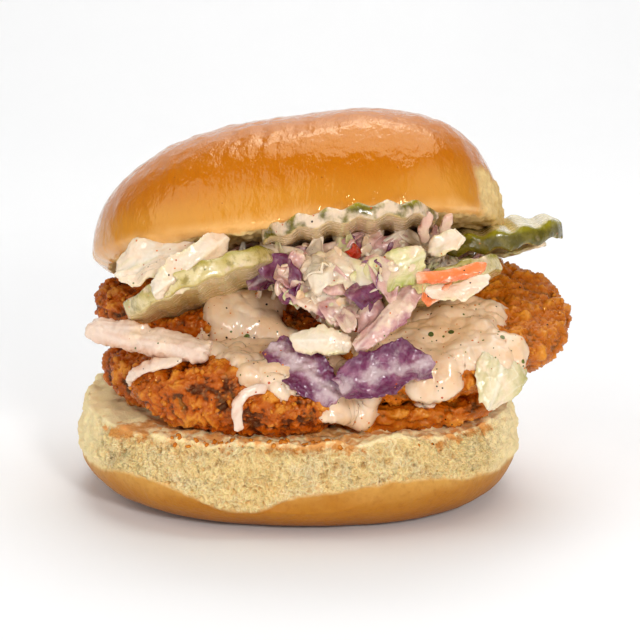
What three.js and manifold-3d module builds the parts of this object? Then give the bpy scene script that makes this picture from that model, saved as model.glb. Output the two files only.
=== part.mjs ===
// A fried chicken burger. Six crusted chicken pieces lie on the bottom bun under a pinkish dressing, a
// heap of dressed slaw and crinkle-cut pickles fills the open front, and the top bun leans back on it.
// Millimetres, +Z up. The origin is the middle of the bottom bun's flat underside. The open front
// faces -Y.

import * as THREE from "three";
import { mergeVertices } from "three/addons/utils/BufferGeometryUtils.js";
import Module from "manifold-3d";

const wasm = await Module();
wasm.setup();

// Driving dimensions: the bun, and how its top leans and tips.
const HEEL_HALF = [52.5, 49.5]; // half width and half depth at the widest
const HEEL_HEIGHT = 22.5; // of the cut face above the table
const HEEL_BELLY = 12.5; // height of the widest line
const HEEL_FOOT = [0.62, 0.74]; // share of the reach that rests on the table, at the left and at the right
const TORN_FRONT = 47.5; // the front was torn from its neighbour along a flat face this far out
const CROWN_HALF = [49.3, 46.5];
const CROWN_HEIGHT = 30.6;
const CROWN_AT = [0, 5, 55.6]; // middle of its cut face
const CROWN_TURN = [-18.4, -7.8, -5.6]; // degrees: it leans back, high on its right, twisted a little

const CRUST_LUMP = 9; // size of the crags on the chicken's crust
const CRUST_RELIEF = 1.5;
const CRUST_CLEAR = 1.7; // the crust's crags stay below this height
const DRESSING_DEPTH = 1.5; // thickness of the poured dressing, on top of that
const PICKLE_THICK = 4.2;
const PICKLE_WAVE = 6.5; // crinkle pitch
const PICKLE_WAVE_DEPTH = 0.75;
const LEAF_THICK = 1.3;
const GAP = 0.32; // left between pieces that touch

const COLOURS = {
  crust: 0xc98a3c,
  crumb: 0xe6d2a0,
  chicken: 0xb0601c,
  dressing: 0xe8bf96,
  pickle: 0xb9b878,
  cabbage: 0xe9dcc0,
  stem: 0xe6c9bb,
  greenCabbage: 0xd2d39a,
  purple: 0x6a2a5c,
  pink: 0xcfa0a6,
  carrot: 0xf08a50,
};

// Number helpers.
const { sin, cos, PI, abs, sign, min, max, sqrt, floor, pow } = Math;
const mix = (a, b, t) => a + (b - a) * t;
const smooth = (t) => t * t * (3 - 2 * t);
const clamp01 = (t) => min(1, max(0, t));

// A repeatable number from -1 to 1 for a whole-number point.
function lattice(i, j, k, seed) {
  let h = Math.imul(i, 374761393) ^ Math.imul(j, 668265263);
  h ^= Math.imul(k, 1442695041) ^ Math.imul(seed + 1, 1274126177);
  h = Math.imul(h ^ (h >>> 13), 1103515245);
  h = Math.imul(h ^ (h >>> 15), 2246822519);
  return ((h ^ (h >>> 16)) >>> 0) / 2147483648 - 1;
}

// Smooth noise from -1 to 1, with features of the given size.
function noise(p, size, seed) {
  const q = [p.x / size, p.y / size, p.z / size];
  const [i, j, k] = q.map(floor);
  const [u, v, w] = [q[0] - i, q[1] - j, q[2] - k].map(smooth);
  const edge = (b, c) =>
    mix(lattice(i, j + b, k + c, seed), lattice(i + 1, j + b, k + c, seed), u);
  return mix(mix(edge(0, 0), edge(1, 0), v), mix(edge(0, 1), edge(1, 1), v), w);
}

// Packed round lumps: 1 on top of a lump and 0 in the creases between them.
function lumps(p, size, seed) {
  const q = [p.x / size, p.y / size, p.z / size];
  const cell = q.map(floor);
  let nearest = 9;
  for (let n = 0; n < 27; n++) {
    const c = [cell[0] + (n % 3) - 1, cell[1] + (floor(n / 3) % 3) - 1, cell[2] + floor(n / 9) - 1];
    const d = c.map((whole, axis) => whole + 0.5 + 0.45 * lattice(...c, seed + axis) - q[axis]);
    nearest = min(nearest, d[0] ** 2 + d[1] ** 2 + d[2] ** 2);
  }
  return 1 - min(1, nearest);
}

// Mesh helpers.

// Keeps only positions, joins shared corners and drops triangles that have collapsed.
function weld(geometry) {
  const bare = new THREE.BufferGeometry();
  bare.setAttribute("position", geometry.getAttribute("position"));
  if (geometry.index) bare.setIndex(geometry.index);
  const merged = mergeVertices(bare, 1e-4);
  const index = merged.index.array;
  const kept = [];
  for (let i = 0; i < index.length; i += 3) {
    const [a, b, c] = [index[i], index[i + 1], index[i + 2]];
    if (a !== b && b !== c && c !== a) kept.push(a, b, c);
  }
  merged.setIndex(kept);
  return merged;
}

// Moves every corner of a geometry to where place(point, uv) puts it.
function reshape(geometry, place) {
  const position = geometry.getAttribute("position");
  const uv = geometry.getAttribute("uv");
  for (let i = 0; i < position.count; i++) {
    const p = new THREE.Vector3().fromBufferAttribute(position, i);
    place(p, uv && new THREE.Vector2().fromBufferAttribute(uv, i));
    position.setXYZ(i, p.x, p.y, p.z);
  }
  return geometry;
}

// The same closed surface, moved outwards along its corner normals.
function grown(geometry, distance) {
  const g = geometry.clone();
  g.computeVertexNormals();
  const normal = g.getAttribute("normal");
  let i = 0;
  return weld(
    reshape(g, (p) => {
      p.addScaledVector(new THREE.Vector3().fromBufferAttribute(normal, i), distance);
      i += 1;
    }),
  );
}

function toSolid(geometry) {
  const vertProperties = new Float32Array(geometry.getAttribute("position").array);
  const triVerts = new Uint32Array(geometry.index.array);
  const solid = new wasm.Manifold(new wasm.Mesh({ numProp: 3, vertProperties, triVerts }));
  if (solid.volume() > 0) return solid;
  for (let i = 0; i < triVerts.length; i += 3)
    [triVerts[i + 1], triVerts[i + 2]] = [triVerts[i + 2], triVerts[i + 1]];
  return new wasm.Manifold(new wasm.Mesh({ numProp: 3, vertProperties, triVerts }));
}

function toGeometry(solid) {
  const mesh = solid.getMesh();
  const g = new THREE.BufferGeometry();
  g.setAttribute("position", new THREE.BufferAttribute(new Float32Array(mesh.vertProperties), 3));
  g.setIndex([...mesh.triVerts]);
  return g;
}

const joined = (solids) => solids.reduce((all, one) => all.add(one));
const largest = (solid) => solid.decompose().sort((a, b) => b.volume() - a.volume())[0];

// A closed sheet over a grid: middle(u, v) is its middle surface and thick(u, v) its thickness. Both
// faces are split into triangles alike. Without a straight direction, the thickness follows the
// surface's normal.
function sheet(across, along, middle, thick, straight) {
  const corners = [];
  const step = 0.02;
  for (const side of [1, -1])
    for (let i = 0; i <= across; i++)
      for (let j = 0; j <= along; j++) {
        const [u, v] = [i / across, j / along];
        const p = middle(u, v);
        const du = middle(min(1, u + step), v).sub(middle(max(0, u - step), v));
        const dv = middle(u, min(1, v + step)).sub(middle(u, max(0, v - step)));
        const normal = straight ? straight.clone() : du.cross(dv).normalize();
        corners.push(...p.addScaledVector(normal, (side * thick(u, v)) / 2));
      }
  const row = along + 1;
  const half = (across + 1) * row;
  const index = [];
  const quad = (a, b, c, d) => index.push(a, b, c, a, c, d);
  for (let i = 0; i < across; i++)
    for (let j = 0; j < along; j++) {
      const a = i * row + j;
      quad(a, a + row, a + row + 1, a + 1);
      index.push(half + a, half + a + row + 1, half + a + row, half + a, half + a + 1, half + a + row + 1);
    }
  const rim = [];
  for (let i = 0; i < across; i++) rim.push(i * row);
  for (let j = 0; j < along; j++) rim.push(across * row + j);
  for (let i = across; i > 0; i--) rim.push(i * row + along);
  for (let j = along; j > 0; j--) rim.push(j);
  rim.forEach((a, n) => {
    const b = rim[(n + 1) % rim.length];
    quad(a, half + a, half + b, b);
  });
  const g = new THREE.BufferGeometry();
  g.setAttribute("position", new THREE.Float32BufferAttribute(corners, 3));
  g.setIndex(index);
  return weld(g);
}

// Bread.

// A round of bread on a lathe's grid: outline(angle) is the reach at the widest, and profile(t, angle)
// gives the share of that reach and the height, from the middle of the underside at t = 0 to the middle
// of the top at t = 1.
function bread({ sectors, rings, outline, profile }) {
  const grid = Array.from({ length: rings + 1 }, (_, i) => new THREE.Vector2(0, i));
  const lathe = new THREE.LatheGeometry(grid, sectors);
  return weld(
    reshape(lathe, (p, uv) => {
      const angle = 2 * PI * uv.x;
      const [share, height] = profile(uv.y, angle);
      const reach = outline(angle) * share;
      p.set(reach * cos(angle), reach * sin(angle), height);
    }),
  );
}

// Distance from the middle to a rounded-square outline at an angle.
function squareReach([a, b], power, angle) {
  return pow(abs(cos(angle) / a) ** power + abs(sin(angle) / b) ** power, -1 / power);
}

function bottomBun() {
  const [foot, belly, wall] = [0.18, 0.55, 0.74]; // where the foot, the curved crust and the torn wall end
  const g = bread({
    sectors: 30,
    rings: 11,
    outline: (angle) => squareReach(HEEL_HALF, 2.3, angle),
    profile: (t, angle) => {
      const footing = mix(...HEEL_FOOT, (1 + cos(angle)) / 2);
      if (t <= foot) return [footing * (t / foot), 0];
      if (t <= belly) {
        const a = ((t - foot) / (belly - foot)) * (PI / 2);
        return [mix(footing, 1, sin(a)), HEEL_BELLY * (1 - cos(a))];
      }
      const torn = 0.7 * noise(new THREE.Vector3(3 * cos(angle), 3 * sin(angle), t), 0.8, 5);
      if (t <= wall) {
        const up = (t - belly) / (wall - belly);
        return [1 - 0.035 * up * up, mix(HEEL_BELLY, HEEL_HEIGHT + torn, up)];
      }
      const inward = (t - wall) / (1 - wall);
      return [0.965 * (1 - inward), HEEL_HEIGHT + torn * (1 - inward)];
    },
  });
  return reshape(g, (p) => {
    const rough = p.z > 3 ? 0.45 * noise(p, 7, 11) : 0;
    p.x *= 1 + rough / HEEL_HALF[0];
    p.y *= 1 + rough / HEEL_HALF[1];
    const limit = -TORN_FRONT - 0.4 * noise(p, 5, 2);
    if (p.z > 4) p.y = max(p.y, limit);
  });
}

function topBun() {
  const underside = 0.24; // where the cut face ends
  // The cut edge is drawn in, most at the left.
  const lipAt = (angle) => mix(1.6, 4, ((1 - cos(angle)) / 2) ** 4);
  return bread({
    sectors: 32,
    rings: 11,
    outline: (angle) => squareReach(CROWN_HALF, mix(2.1, 3.6, (1 + cos(angle)) / 2), angle),
    profile: (t, angle) => {
      const lip = lipAt(angle);
      if (t <= underside) return [(t / underside) * (1 - lip / CROWN_HALF[0]), 0.8 * (1 - t / underside)];
      const a = ((t - underside) / (1 - underside)) * (PI / 2);
      const boxy = 2 / mix(2.35, 3.2, (1 + cos(angle)) / 2); // the right side is steeper than the left
      const height = CROWN_HEIGHT * pow(sin(a), boxy);
      const drawnIn = (lip / CROWN_HALF[0]) * (1 - clamp01(height / lip)) ** 2;
      return [pow(cos(a), boxy) - drawnIn * cos(a), height];
    },
  });
}

// Chicken.

// One crusted piece of chicken about its own middle. With cover, it is the same piece swollen and
// smooth, as the dressing on it lies; with spare, it is the craggy piece with a little room round it.
function chickenPiece({ half, seed, detail, power = 2.6 }, { cover = 0, spare = 0 } = {}) {
  const g = weld(new THREE.IcosahedronGeometry(1, detail));
  return reshape(g, (p) => {
    const round = (abs(p.x) ** power + abs(p.y) ** power + abs(p.z) ** power) ** (-1 / power);
    const wander = 1 + 0.1 * noise(p, 0.7, seed);
    p.multiplyScalar(round);
    p.set(p.x * half[0] * wander, p.y * half[1] * wander, p.z * half[2]);
    const out = new THREE.Vector3(p.x / half[0] ** 2, p.y / half[1] ** 2, p.z / half[2] ** 2).normalize();
    const crags = lumps(p, CRUST_LUMP, seed) - 0.5 + 0.5 * noise(p, 3.5, seed + 9);
    p.addScaledVector(out, cover || CRUST_RELIEF * crags + spare);
  });
}

const CHICKEN = {
  chicken_front_left: {
    at: [-13, -31.5, 30.9], turn: [4, 2, -12],
    half: [24.5, 14.5, 8.3], seed: 21, detail: 4,
  },
  chicken_left_low: {
    at: [-22, -8, 29.8], turn: [0, 0, -6],
    half: [24, 17, 8], seed: 33, detail: 3,
  },
  chicken_left_top: {
    at: [-20.5, -5, 44], turn: [8, 3, -4],
    half: [28, 15.5, 7.4], seed: 47, detail: 3,
  },
  chicken_right: {
    at: [29.5, -10, 40.8], turn: [13, -7, -12],
    half: [35, 32, 8.2], seed: 58, detail: 4, power: 2.4,
  },
  chicken_mid_low: {
    at: [20, -17, 27.6], turn: [3, 0, 10],
    half: [27, 22, 5.8], seed: 62, detail: 2,
  },
  chicken_back: {
    at: [2, 27, 30.2], turn: [-4, 0, 3],
    half: [42, 18, 8.2], seed: 75, detail: 3,
  },
};

// Dressing.

// Where the dressing lies: rounded patches, each a middle and half sizes. The coat stays inside them.
const DRESSING_PATCHES = {
  dressing_left: [
    { at: [-6, -22, 46], half: [16, 16, 13] },
    { at: [-4, -35, 38], half: [13, 12, 12] },
    { at: [12, -42, 31], half: [7, 10, 12] },
  ],
  dressing_right: [
    { at: [31, -27, 44], half: [21, 17, 18] },
    { at: [30, -42, 36], half: [8, 10, 11] },
    { at: [47, -24, 46], half: [11, 8, 10] },
  ],
};

// All the chicken, swollen to a smooth skin at one height above its surface.
function chickenSkin(cover) {
  const pieces = Object.values(CHICKEN).map((spec) => {
    const { detail, ...rest } = spec;
    return stood(chickenPiece({ ...rest, detail: min(3, detail) }, { cover }), spec);
  });
  return joined(pieces.map(toSolid));
}

function dressing(patches, coat) {
  const balls = patches.map(({ at, half }, n) => {
    const ball = reshape(weld(new THREE.IcosahedronGeometry(1, 2)), (p) => {
      const wander = 1 + 0.22 * noise(p, 0.6, 90 + n);
      p.set(p.x * half[0] * wander, p.y * half[1] * wander, p.z * half[2] * wander);
    });
    return toSolid(ball.translate(...at));
  });
  return coat.intersect(joined(balls));
}

// Pickles.

function pickle({ radius, seed = 0, thick = PICKLE_THICK, wave = PICKLE_WAVE_DEPTH }) {
  const middle = (u, v) => {
    const x = mix(-radius, radius, u);
    const reach = radius * (1 + 0.03 * noise(new THREE.Vector3(x, 0, 0), 6, seed));
    const chord = max(3.5, sqrt(max(0, reach * reach - x * x)));
    const y = mix(-chord, chord, v);
    const z = wave * sin((2 * PI * x) / PICKLE_WAVE);
    return new THREE.Vector3(x, y, z);
  };
  return sheet(24, 1, middle, () => thick, new THREE.Vector3(0, 0, 1));
}

// A plain disc that holds the crinkled slice, for other pieces to keep clear of.
function pickleRoom({ radius, thick = PICKLE_THICK }) {
  const reach = radius * 1.02 + GAP;
  const depth = thick + 2 * (PICKLE_WAVE_DEPTH + GAP);
  return weld(new THREE.CylinderGeometry(reach, reach, depth, 20, 1).rotateX(PI / 2));
}

const PICKLES = {
  pickle_top: { at: [12, -31, 69.2], turn: [-19, -7.5, 0], radius: 20, thick: 3.2, seed: 12 },
  pickle_left: { at: [-21.6, -27, 54.6], turn: [-21, -21, 0], radius: 18.5, wave: 0.4, seed: 2 },
  pickle_right_low: { at: [30.8, -28, 53.6], turn: [-20, -21, 0], radius: 16.5, wave: 0.4, seed: 5 },
  pickle_right_back: { at: [44.5, -2, 61.2], turn: [-6, -7, 0], radius: 18, seed: 7 },
  pickle_back: { at: [-16, 33, 41.8], turn: [-18, -6, 25], radius: 17, seed: 9 },
};

// Cabbage, purple cabbage and carrot.

// A leaf or strip along a spine. facing is roughly where its broad side looks, cup bends its edges
// towards or away from there, ruffle waves them, belly thickens its middle line, and ragged notches its
// outline.
function leaf({ spine, width, facing, thick = LEAF_THICK, cup = 0, ruffle = 0, waves = 2, ...more }) {
  const { belly = 0, ragged = 0.15, blunt = 0.45, seed = 1, across = 2, along = 7 } = more;
  const line = new THREE.CatmullRomCurve3(spine.map((p) => new THREE.Vector3(...p)));
  const look = new THREE.Vector3(...facing).normalize();
  const middle = (u, v) => {
    const side = 2 * v - 1;
    const tangent = line.getTangent(u);
    const normal = look.clone().addScaledVector(tangent, -look.dot(tangent)).normalize();
    const broad = normal.clone().cross(tangent);
    const outline = pow(sin(PI * mix(0.06, 0.94, u)), blunt);
    const notch = 1 + ragged * noise(new THREE.Vector3(7 * u, sign(side) * 2, 0), 1, seed);
    const reach = (width / 2) * outline * notch;
    const edge = abs(side) ** 2;
    const wave = ruffle * sin(2 * PI * waves * u + sign(side) + seed) * edge;
    return line.getPoint(u).addScaledVector(broad, side * reach).addScaledVector(normal, cup * edge + wave);
  };
  return sheet(along, across, middle, (u, v) => thick + belly * sqrt(max(0, 1 - (2 * v - 1) ** 2)));
}

const FRONT = [0, -0.85, 0.5]; // towards someone who looks at the open side from a little above
const LEAVES = {
  cabbage_left_outer: {
    spine: [[-41, -31, 58], [-33, -32.5, 61], [-24, -31, 65]],
    width: 13, facing: [0.1, -0.55, 0.8], cup: 1.5, ruffle: 1.2, waves: 1.6, seed: 3,
  },
  cabbage_left_inner: {
    spine: [[-32.2, -43.5, 56], [-27, -43, 59.8], [-21.4, -40.5, 63.6], [-15.4, -36, 68]],
    width: 8, facing: [0.5, -0.8, 0.4], cup: -1.6, ruffle: 0.6, thick: 1.5, seed: 4, blunt: 0.6,
  },
  cabbage_rib: {
    spine: [[-48.3, -27, 44.6], [-38.3, -31, 43.3], [-27.8, -34.5, 41.8], [-19.1, -37, 41]],
    width: 7.6, facing: FRONT, thick: 2.4, belly: 2.4, cup: -0.6, ragged: 0.1, blunt: 0.3, seed: 6,
  },
  cabbage_shred_left: {
    spine: [[-25.5, -37.5, 39.7], [-32.4, -37.5, 38.3], [-37.2, -35, 35.8], [-39, -32, 32]],
    width: 2.8, facing: FRONT, blunt: 0.3, seed: 7, across: 1,
  },
  shred_front: {
    spine: [[-6.5, -46.5, 35.2], [-11.4, -47.7, 34.6], [-13.4, -48.8, 31.2], [-12.6, -48.2, 26]],
    width: 2.7, facing: [0, -1, 0.2], blunt: 0.25, seed: 8, across: 1,
  },
  purple_left: {
    spine: [[-6.2, -38, 43.8], [0.7, -43, 39.6], [9.4, -48, 33.2]],
    width: 10.5, facing: FRONT, cup: -1.4, ruffle: 0.9, waves: 2.5, thick: 1.5, ragged: 0.25, seed: 12,
  },
  purple_right: {
    spine: [[9.6, -49.5, 34.9], [16.6, -48.5, 38.3], [23.4, -46, 40.9], [30.2, -45, 38.8]],
    width: 11.5, facing: FRONT, cup: 1.8, ruffle: 1.5, waves: 3.2, thick: 1.5, ragged: 0.25, seed: 13,
    along: 9,
  },
  cabbage_chunk: {
    spine: [[-0.6, -43, 44.4], [5.6, -45, 45.7], [12.2, -44.5, 44.4]],
    width: 6.2, facing: FRONT, thick: 2.2, belly: 1.4, blunt: 0.35, seed: 14,
  },
  pink_strip: {
    spine: [[29.4, -40, 60.3], [25.3, -43.5, 56], [19.7, -46, 49.8], [12.6, -46.5, 44.6]],
    width: 5.4, facing: FRONT, cup: -1, ruffle: 0.5, thick: 1.5, seed: 15,
  },
  pink_leaf: {
    spine: [[-2.7, -33.5, 60], [0.9, -37, 54.9], [9.2, -40, 51.9], [19.2, -38.5, 53.4]],
    width: 7, facing: FRONT, cup: 1.2, ruffle: 1, waves: 2.6, seed: 16,
  },
  white_leaf: {
    spine: [[0.6, -37, 59.6], [7.4, -39, 62.2], [15.2, -40, 59.8]],
    width: 9, facing: [0, -0.7, 0.7], cup: -1.6, ruffle: 0.9, waves: 2.2, seed: 17,
  },
  green_leaf: {
    spine: [[11.6, -41, 55.8], [19.4, -42.5, 60], [28.2, -41, 64.4]],
    width: 9, facing: [0.1, -0.85, 0.5], cup: 1.2, ruffle: 1.3, waves: 2.8, ragged: 0.25, seed: 18,
  },
  carrot_shred: {
    spine: [[26.5, -45.5, 60.2], [34, -46, 60.8], [42, -44.5, 62.6]],
    width: 2.9, facing: FRONT, thick: 2, ragged: 0.05, blunt: 0.12, seed: 19, across: 1,
  },
  cabbage_fold: {
    spine: [[29.6, -38, 65], [33.4, -39, 66.4], [37.2, -39, 68.8]],
    width: 5, facing: [-0.3, -0.8, 0.4], cup: 1.2, ruffle: 0.5, seed: 22,
  },
  cabbage_mid: {
    spine: [[28.4, -43.5, 57.4], [35.8, -44, 56.8], [43, -42.5, 59.8]],
    width: 4.2, facing: FRONT, cup: -0.6, ruffle: 0.4, thick: 1.2, seed: 23,
  },
  stem_a: {
    spine: [[29, -35, 66.2], [28.4, -37, 69.6], [29.9, -38.4, 73.4]],
    width: 2.6, facing: [0, -1, 0], thick: 1.6, blunt: 0.3, seed: 24, across: 1,
  },
  stem_b: {
    spine: [[32.4, -33, 64.8], [33, -35, 68.8], [34, -36, 72.6]],
    width: 2.8, facing: [0, -1, 0], thick: 1.6, blunt: 0.3, seed: 25, across: 1,
  },
  cabbage_right_low: {
    spine: [[45.4, -36.5, 43.8], [46.4, -42, 38.6], [42.6, -45, 30.4]],
    width: 13, facing: [0.35, -0.9, 0.3], cup: -1.5, ruffle: 0.7, waves: 1.4, blunt: 0.85, seed: 26,
  },
  cabbage_tip: {
    spine: [[45, 0, 56.4], [52, -1, 57.4], [58.6, -2, 59.4]],
    width: 6, facing: [0, -0.5, 0.85], cup: 1, blunt: 0.7, seed: 27,
  },
  purple_left_high: {
    spine: [[-11.5, -22, 53.2], [-6, -25, 56], [-1, -26, 59.6]],
    width: 5, facing: FRONT, cup: 0.8, ruffle: 0.6, seed: 28,
  },
  cabbage_back: {
    spine: [[7, 42, 39.2], [18, 44, 39.9], [30, 41, 41.6]],
    width: 10, facing: [0.1, 0.9, 0.4], cup: -1.4, ruffle: 1, waves: 2, seed: 31,
  },
  purple_back_right: {
    spine: [[31, 41, 41.5], [40, 33, 43], [45.5, 23, 46]],
    width: 8, facing: [0.8, 0.6, 0.3], cup: -1.2, ruffle: 1, waves: 2.4, seed: 32,
  },
  cabbage_back_left: {
    spine: [[-45, 14, 40.6], [-43.5, 24, 37.6], [-37, 33, 36.2]],
    width: 9, facing: [-0.8, 0.5, 0.3], cup: -1.2, ruffle: 0.9, waves: 2, seed: 33,
  },
  cabbage_right: {
    spine: [[49, 10, 52.5], [49, 20, 50], [44, 30, 47.4]],
    width: 9, facing: [0.9, 0.2, 0.3], cup: -1.2, ruffle: 1, waves: 2, seed: 34,
  },
};

// Slaw.

const SLAW_AT = [11, -7, 57];
const SLAW_HALF = [29, 25, 8.5];
const SLAW_TURN = [-19, -8, 0];
const SHREDS = 8; // fused strips that stick out of the heap, mostly at its sides and back
const SHRED_LENGTH = 20;

function slawHeap() {
  const core = reshape(weld(new THREE.IcosahedronGeometry(1, 2)), (p) => {
    const wander = 1 + 0.14 * noise(p, 0.45, 140);
    p.set(p.x * SLAW_HALF[0] * wander, p.y * SLAW_HALF[1] * wander, p.z * SLAW_HALF[2] * wander);
  });
  const pieces = [toSolid(core)];
  for (let n = 0; n < SHREDS; n++) {
    const draw = (k) => lattice(n, k, 3, 150);
    const angle = mix(-0.25 * PI, 1.25 * PI, (n + 0.5) / SHREDS) + 0.06 * draw(0);
    const reach = 1.04 + 0.12 * draw(1);
    const [x, y] = [SLAW_HALF[0] * cos(angle) * reach, SLAW_HALF[1] * sin(angle) * reach];
    const z = 4.5 * draw(2) - 1;
    const slant = 1.1 * draw(3);
    const along = [-sin(angle + slant), cos(angle + slant)].map((c) => (c * SHRED_LENGTH) / 2);
    const droop = 2 + 2 * draw(4);
    const spine = [
      [x * 0.86 - along[0], y * 0.86 - along[1], z],
      [x, y, z + droop / 2],
      [x * 0.9 + along[0], y * 0.9 + along[1], z - droop],
    ];
    const width = 3.6 + 1.2 * draw(5);
    const facing = [cos(angle), sin(angle), 0.7 * draw(6)];
    const shred = leaf({ spine, width, facing, thick: 1.8, seed: n, across: 1, along: 4, ragged: 0.1 });
    pieces.push(toSolid(shred));
  }
  return joined(pieces);
}

// Assembly.

const world = (spec) => {
  const [x, y, z] = (spec.turn ?? [0, 0, 0]).map(THREE.MathUtils.degToRad);
  const turned = new THREE.Matrix4().makeRotationFromEuler(new THREE.Euler(x, y, z));
  return turned.setPosition(...(spec.at ?? [0, 0, 0]));
};

// A geometry moved from its own middle to its place in the burger.
function stood(geometry, spec) {
  return geometry.clone().applyMatrix4(world(spec));
}

const burger = new THREE.Group();
const layers = {};
for (const name of ["bottom_bun", "chicken_layer", "salad", "top_bun"]) {
  layers[name] = new THREE.Group();
  burger.add(layers[name]);
}
layers.top_bun.position.set(...CROWN_AT);
layers.top_bun.rotation.set(...CROWN_TURN.map(THREE.MathUtils.degToRad));
layers.top_bun.updateMatrix();

const taken = []; // room that earlier pieces take up, for the later ones to keep clear of

function clearOf(solid) {
  return taken.reduce((left, one) => left.subtract(one), solid);
}

// Adds one piece. Its solid is in the burger's frame, and its mesh is placed by spec in its layer. Its
// room is a grown copy unless one is given.
function add(layer, name, colour, solid, spec = {}, room = grown(toGeometry(solid), GAP)) {
  const material = new THREE.MeshStandardMaterial({ color: COLOURS[colour], roughness: 0.6, metalness: 0 });
  const shape = toGeometry(largest(solid));
  const mesh = new THREE.Mesh(shape.clone(), material);
  const [turnX, turnY, turnZ] = (spec.turn ?? [0, 0, 0]).map(THREE.MathUtils.degToRad);
  mesh.name = name;
  mesh.position.set(...(spec.at ?? [0, 0, 0]));
  mesh.rotation.set(turnX, turnY, turnZ);
  mesh.updateMatrix();
  const frame = layers[layer].matrix.clone().multiply(mesh.matrix);
  mesh.geometry.applyMatrix4(frame.invert());
  layers[layer].add(mesh);
  taken.push(toSolid(weld(room)), toSolid(shape));
}

const LEAF_COLOURS = {
  purple: "purple",
  pink: "pink",
  green: "greenCabbage",
  carrot: "carrot",
  stem: "stem",
};
const leafColour = (name) => LEAF_COLOURS[name.split("_")[0]] ?? "cabbage";

for (const [name, spec] of Object.entries(LEAVES)) {
  const whole = leaf(spec);
  add("salad", name, leafColour(name), clearOf(toSolid(whole)), {}, grown(whole, GAP));
}
for (const [name, spec] of Object.entries(PICKLES)) {
  const slice = clearOf(toSolid(stood(pickle(spec), spec)));
  add("salad", name, "pickle", slice, spec, stood(pickleRoom(spec), spec));
}

const CROWN_PLACE = { at: CROWN_AT, turn: CROWN_TURN };
const crown = stood(topBun(), CROWN_PLACE);
add("top_bun", "bun_top", "crust", clearOf(toSolid(crown)), {}, grown(crown, GAP));

const coat = clearOf(chickenSkin(CRUST_CLEAR + DRESSING_DEPTH).subtract(chickenSkin(CRUST_CLEAR)));
for (const [name, spec] of Object.entries(CHICKEN)) {
  const room = stood(chickenPiece(spec, { spare: GAP }), spec);
  add("chicken_layer", name, "chicken", clearOf(toSolid(stood(chickenPiece(spec), spec))), spec, room);
}
let bare = coat; // the dressing that the next patches can take
for (const [name, patches] of Object.entries(DRESSING_PATCHES)) {
  const poured = dressing(patches, bare);
  add("chicken_layer", name, "dressing", poured);
  bare = bare.subtract(taken.at(-2)).subtract(taken.at(-1));
}
const heap = stood(toGeometry(slawHeap()), { at: SLAW_AT, turn: SLAW_TURN });
add("salad", "slaw", "cabbage", clearOf(toSolid(heap)));
add("bottom_bun", "bun_bottom", "crumb", clearOf(toSolid(bottomBun())));

export default burger;
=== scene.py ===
"""A fried chicken burger, dressed for the camera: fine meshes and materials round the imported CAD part.

Metres, +Z up. The open side of the burger, where the filling shows, faces -Y.
"""

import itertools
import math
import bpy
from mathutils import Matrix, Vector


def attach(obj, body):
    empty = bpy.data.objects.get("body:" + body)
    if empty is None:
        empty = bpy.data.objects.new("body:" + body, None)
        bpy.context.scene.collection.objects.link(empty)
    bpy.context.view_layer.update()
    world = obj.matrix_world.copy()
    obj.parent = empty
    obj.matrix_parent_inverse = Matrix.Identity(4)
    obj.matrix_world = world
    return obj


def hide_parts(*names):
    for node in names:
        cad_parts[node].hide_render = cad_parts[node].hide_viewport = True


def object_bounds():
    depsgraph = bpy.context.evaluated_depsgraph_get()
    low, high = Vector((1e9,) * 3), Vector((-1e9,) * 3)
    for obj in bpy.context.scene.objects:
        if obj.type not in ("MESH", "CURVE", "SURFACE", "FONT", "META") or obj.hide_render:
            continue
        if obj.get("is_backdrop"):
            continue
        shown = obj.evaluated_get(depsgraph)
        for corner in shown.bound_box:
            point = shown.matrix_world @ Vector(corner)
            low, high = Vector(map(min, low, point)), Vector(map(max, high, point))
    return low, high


bl_info = {
    "name": "Chicken Burger",
    "version": (1, 0, 0),
    "blender": (4, 5, 0),
    "location": "View3D > Sidebar > Burger",
    "description": "Builds the bun, fried chicken, dressing, pickles and slaw of a burger",
    "category": "Object",
}

import bmesh
import bpy
import numpy as np
from bpy.props import FloatProperty, FloatVectorProperty, IntProperty, PointerProperty
from mathutils import Euler, Matrix, Vector

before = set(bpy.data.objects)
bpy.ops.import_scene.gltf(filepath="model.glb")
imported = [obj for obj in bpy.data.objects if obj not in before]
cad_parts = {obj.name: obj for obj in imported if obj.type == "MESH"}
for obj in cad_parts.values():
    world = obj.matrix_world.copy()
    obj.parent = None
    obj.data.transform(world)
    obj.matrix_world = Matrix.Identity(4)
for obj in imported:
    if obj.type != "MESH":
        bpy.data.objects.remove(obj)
CAD_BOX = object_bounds()
BODY = "root"
MM = 0.001
MERGE = 0.00001


def srgb(red, green, blue):
    """A screen colour, 0 to 255 a channel, as the linear colour that Blender works in."""
    shares = [channel / 255 for channel in (red, green, blue)]
    return tuple(s / 12.92 if s <= 0.04045 else ((s + 0.055) / 1.055) ** 2.4 for s in shares)


# Settings that a user would change

def length_setting(name, description, default):
    return FloatProperty(name=name, description=description, default=default, unit="LENGTH", precision=5)


def power_setting(name, what, default):
    return FloatProperty(name=name, description=f"Power of the {what} in watts", default=default, min=0)


def colour_setting(name, description, default):
    return FloatVectorProperty(
        name=name, description=description, default=default, subtype="COLOR", size=3, min=0, max=1
    )


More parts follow.
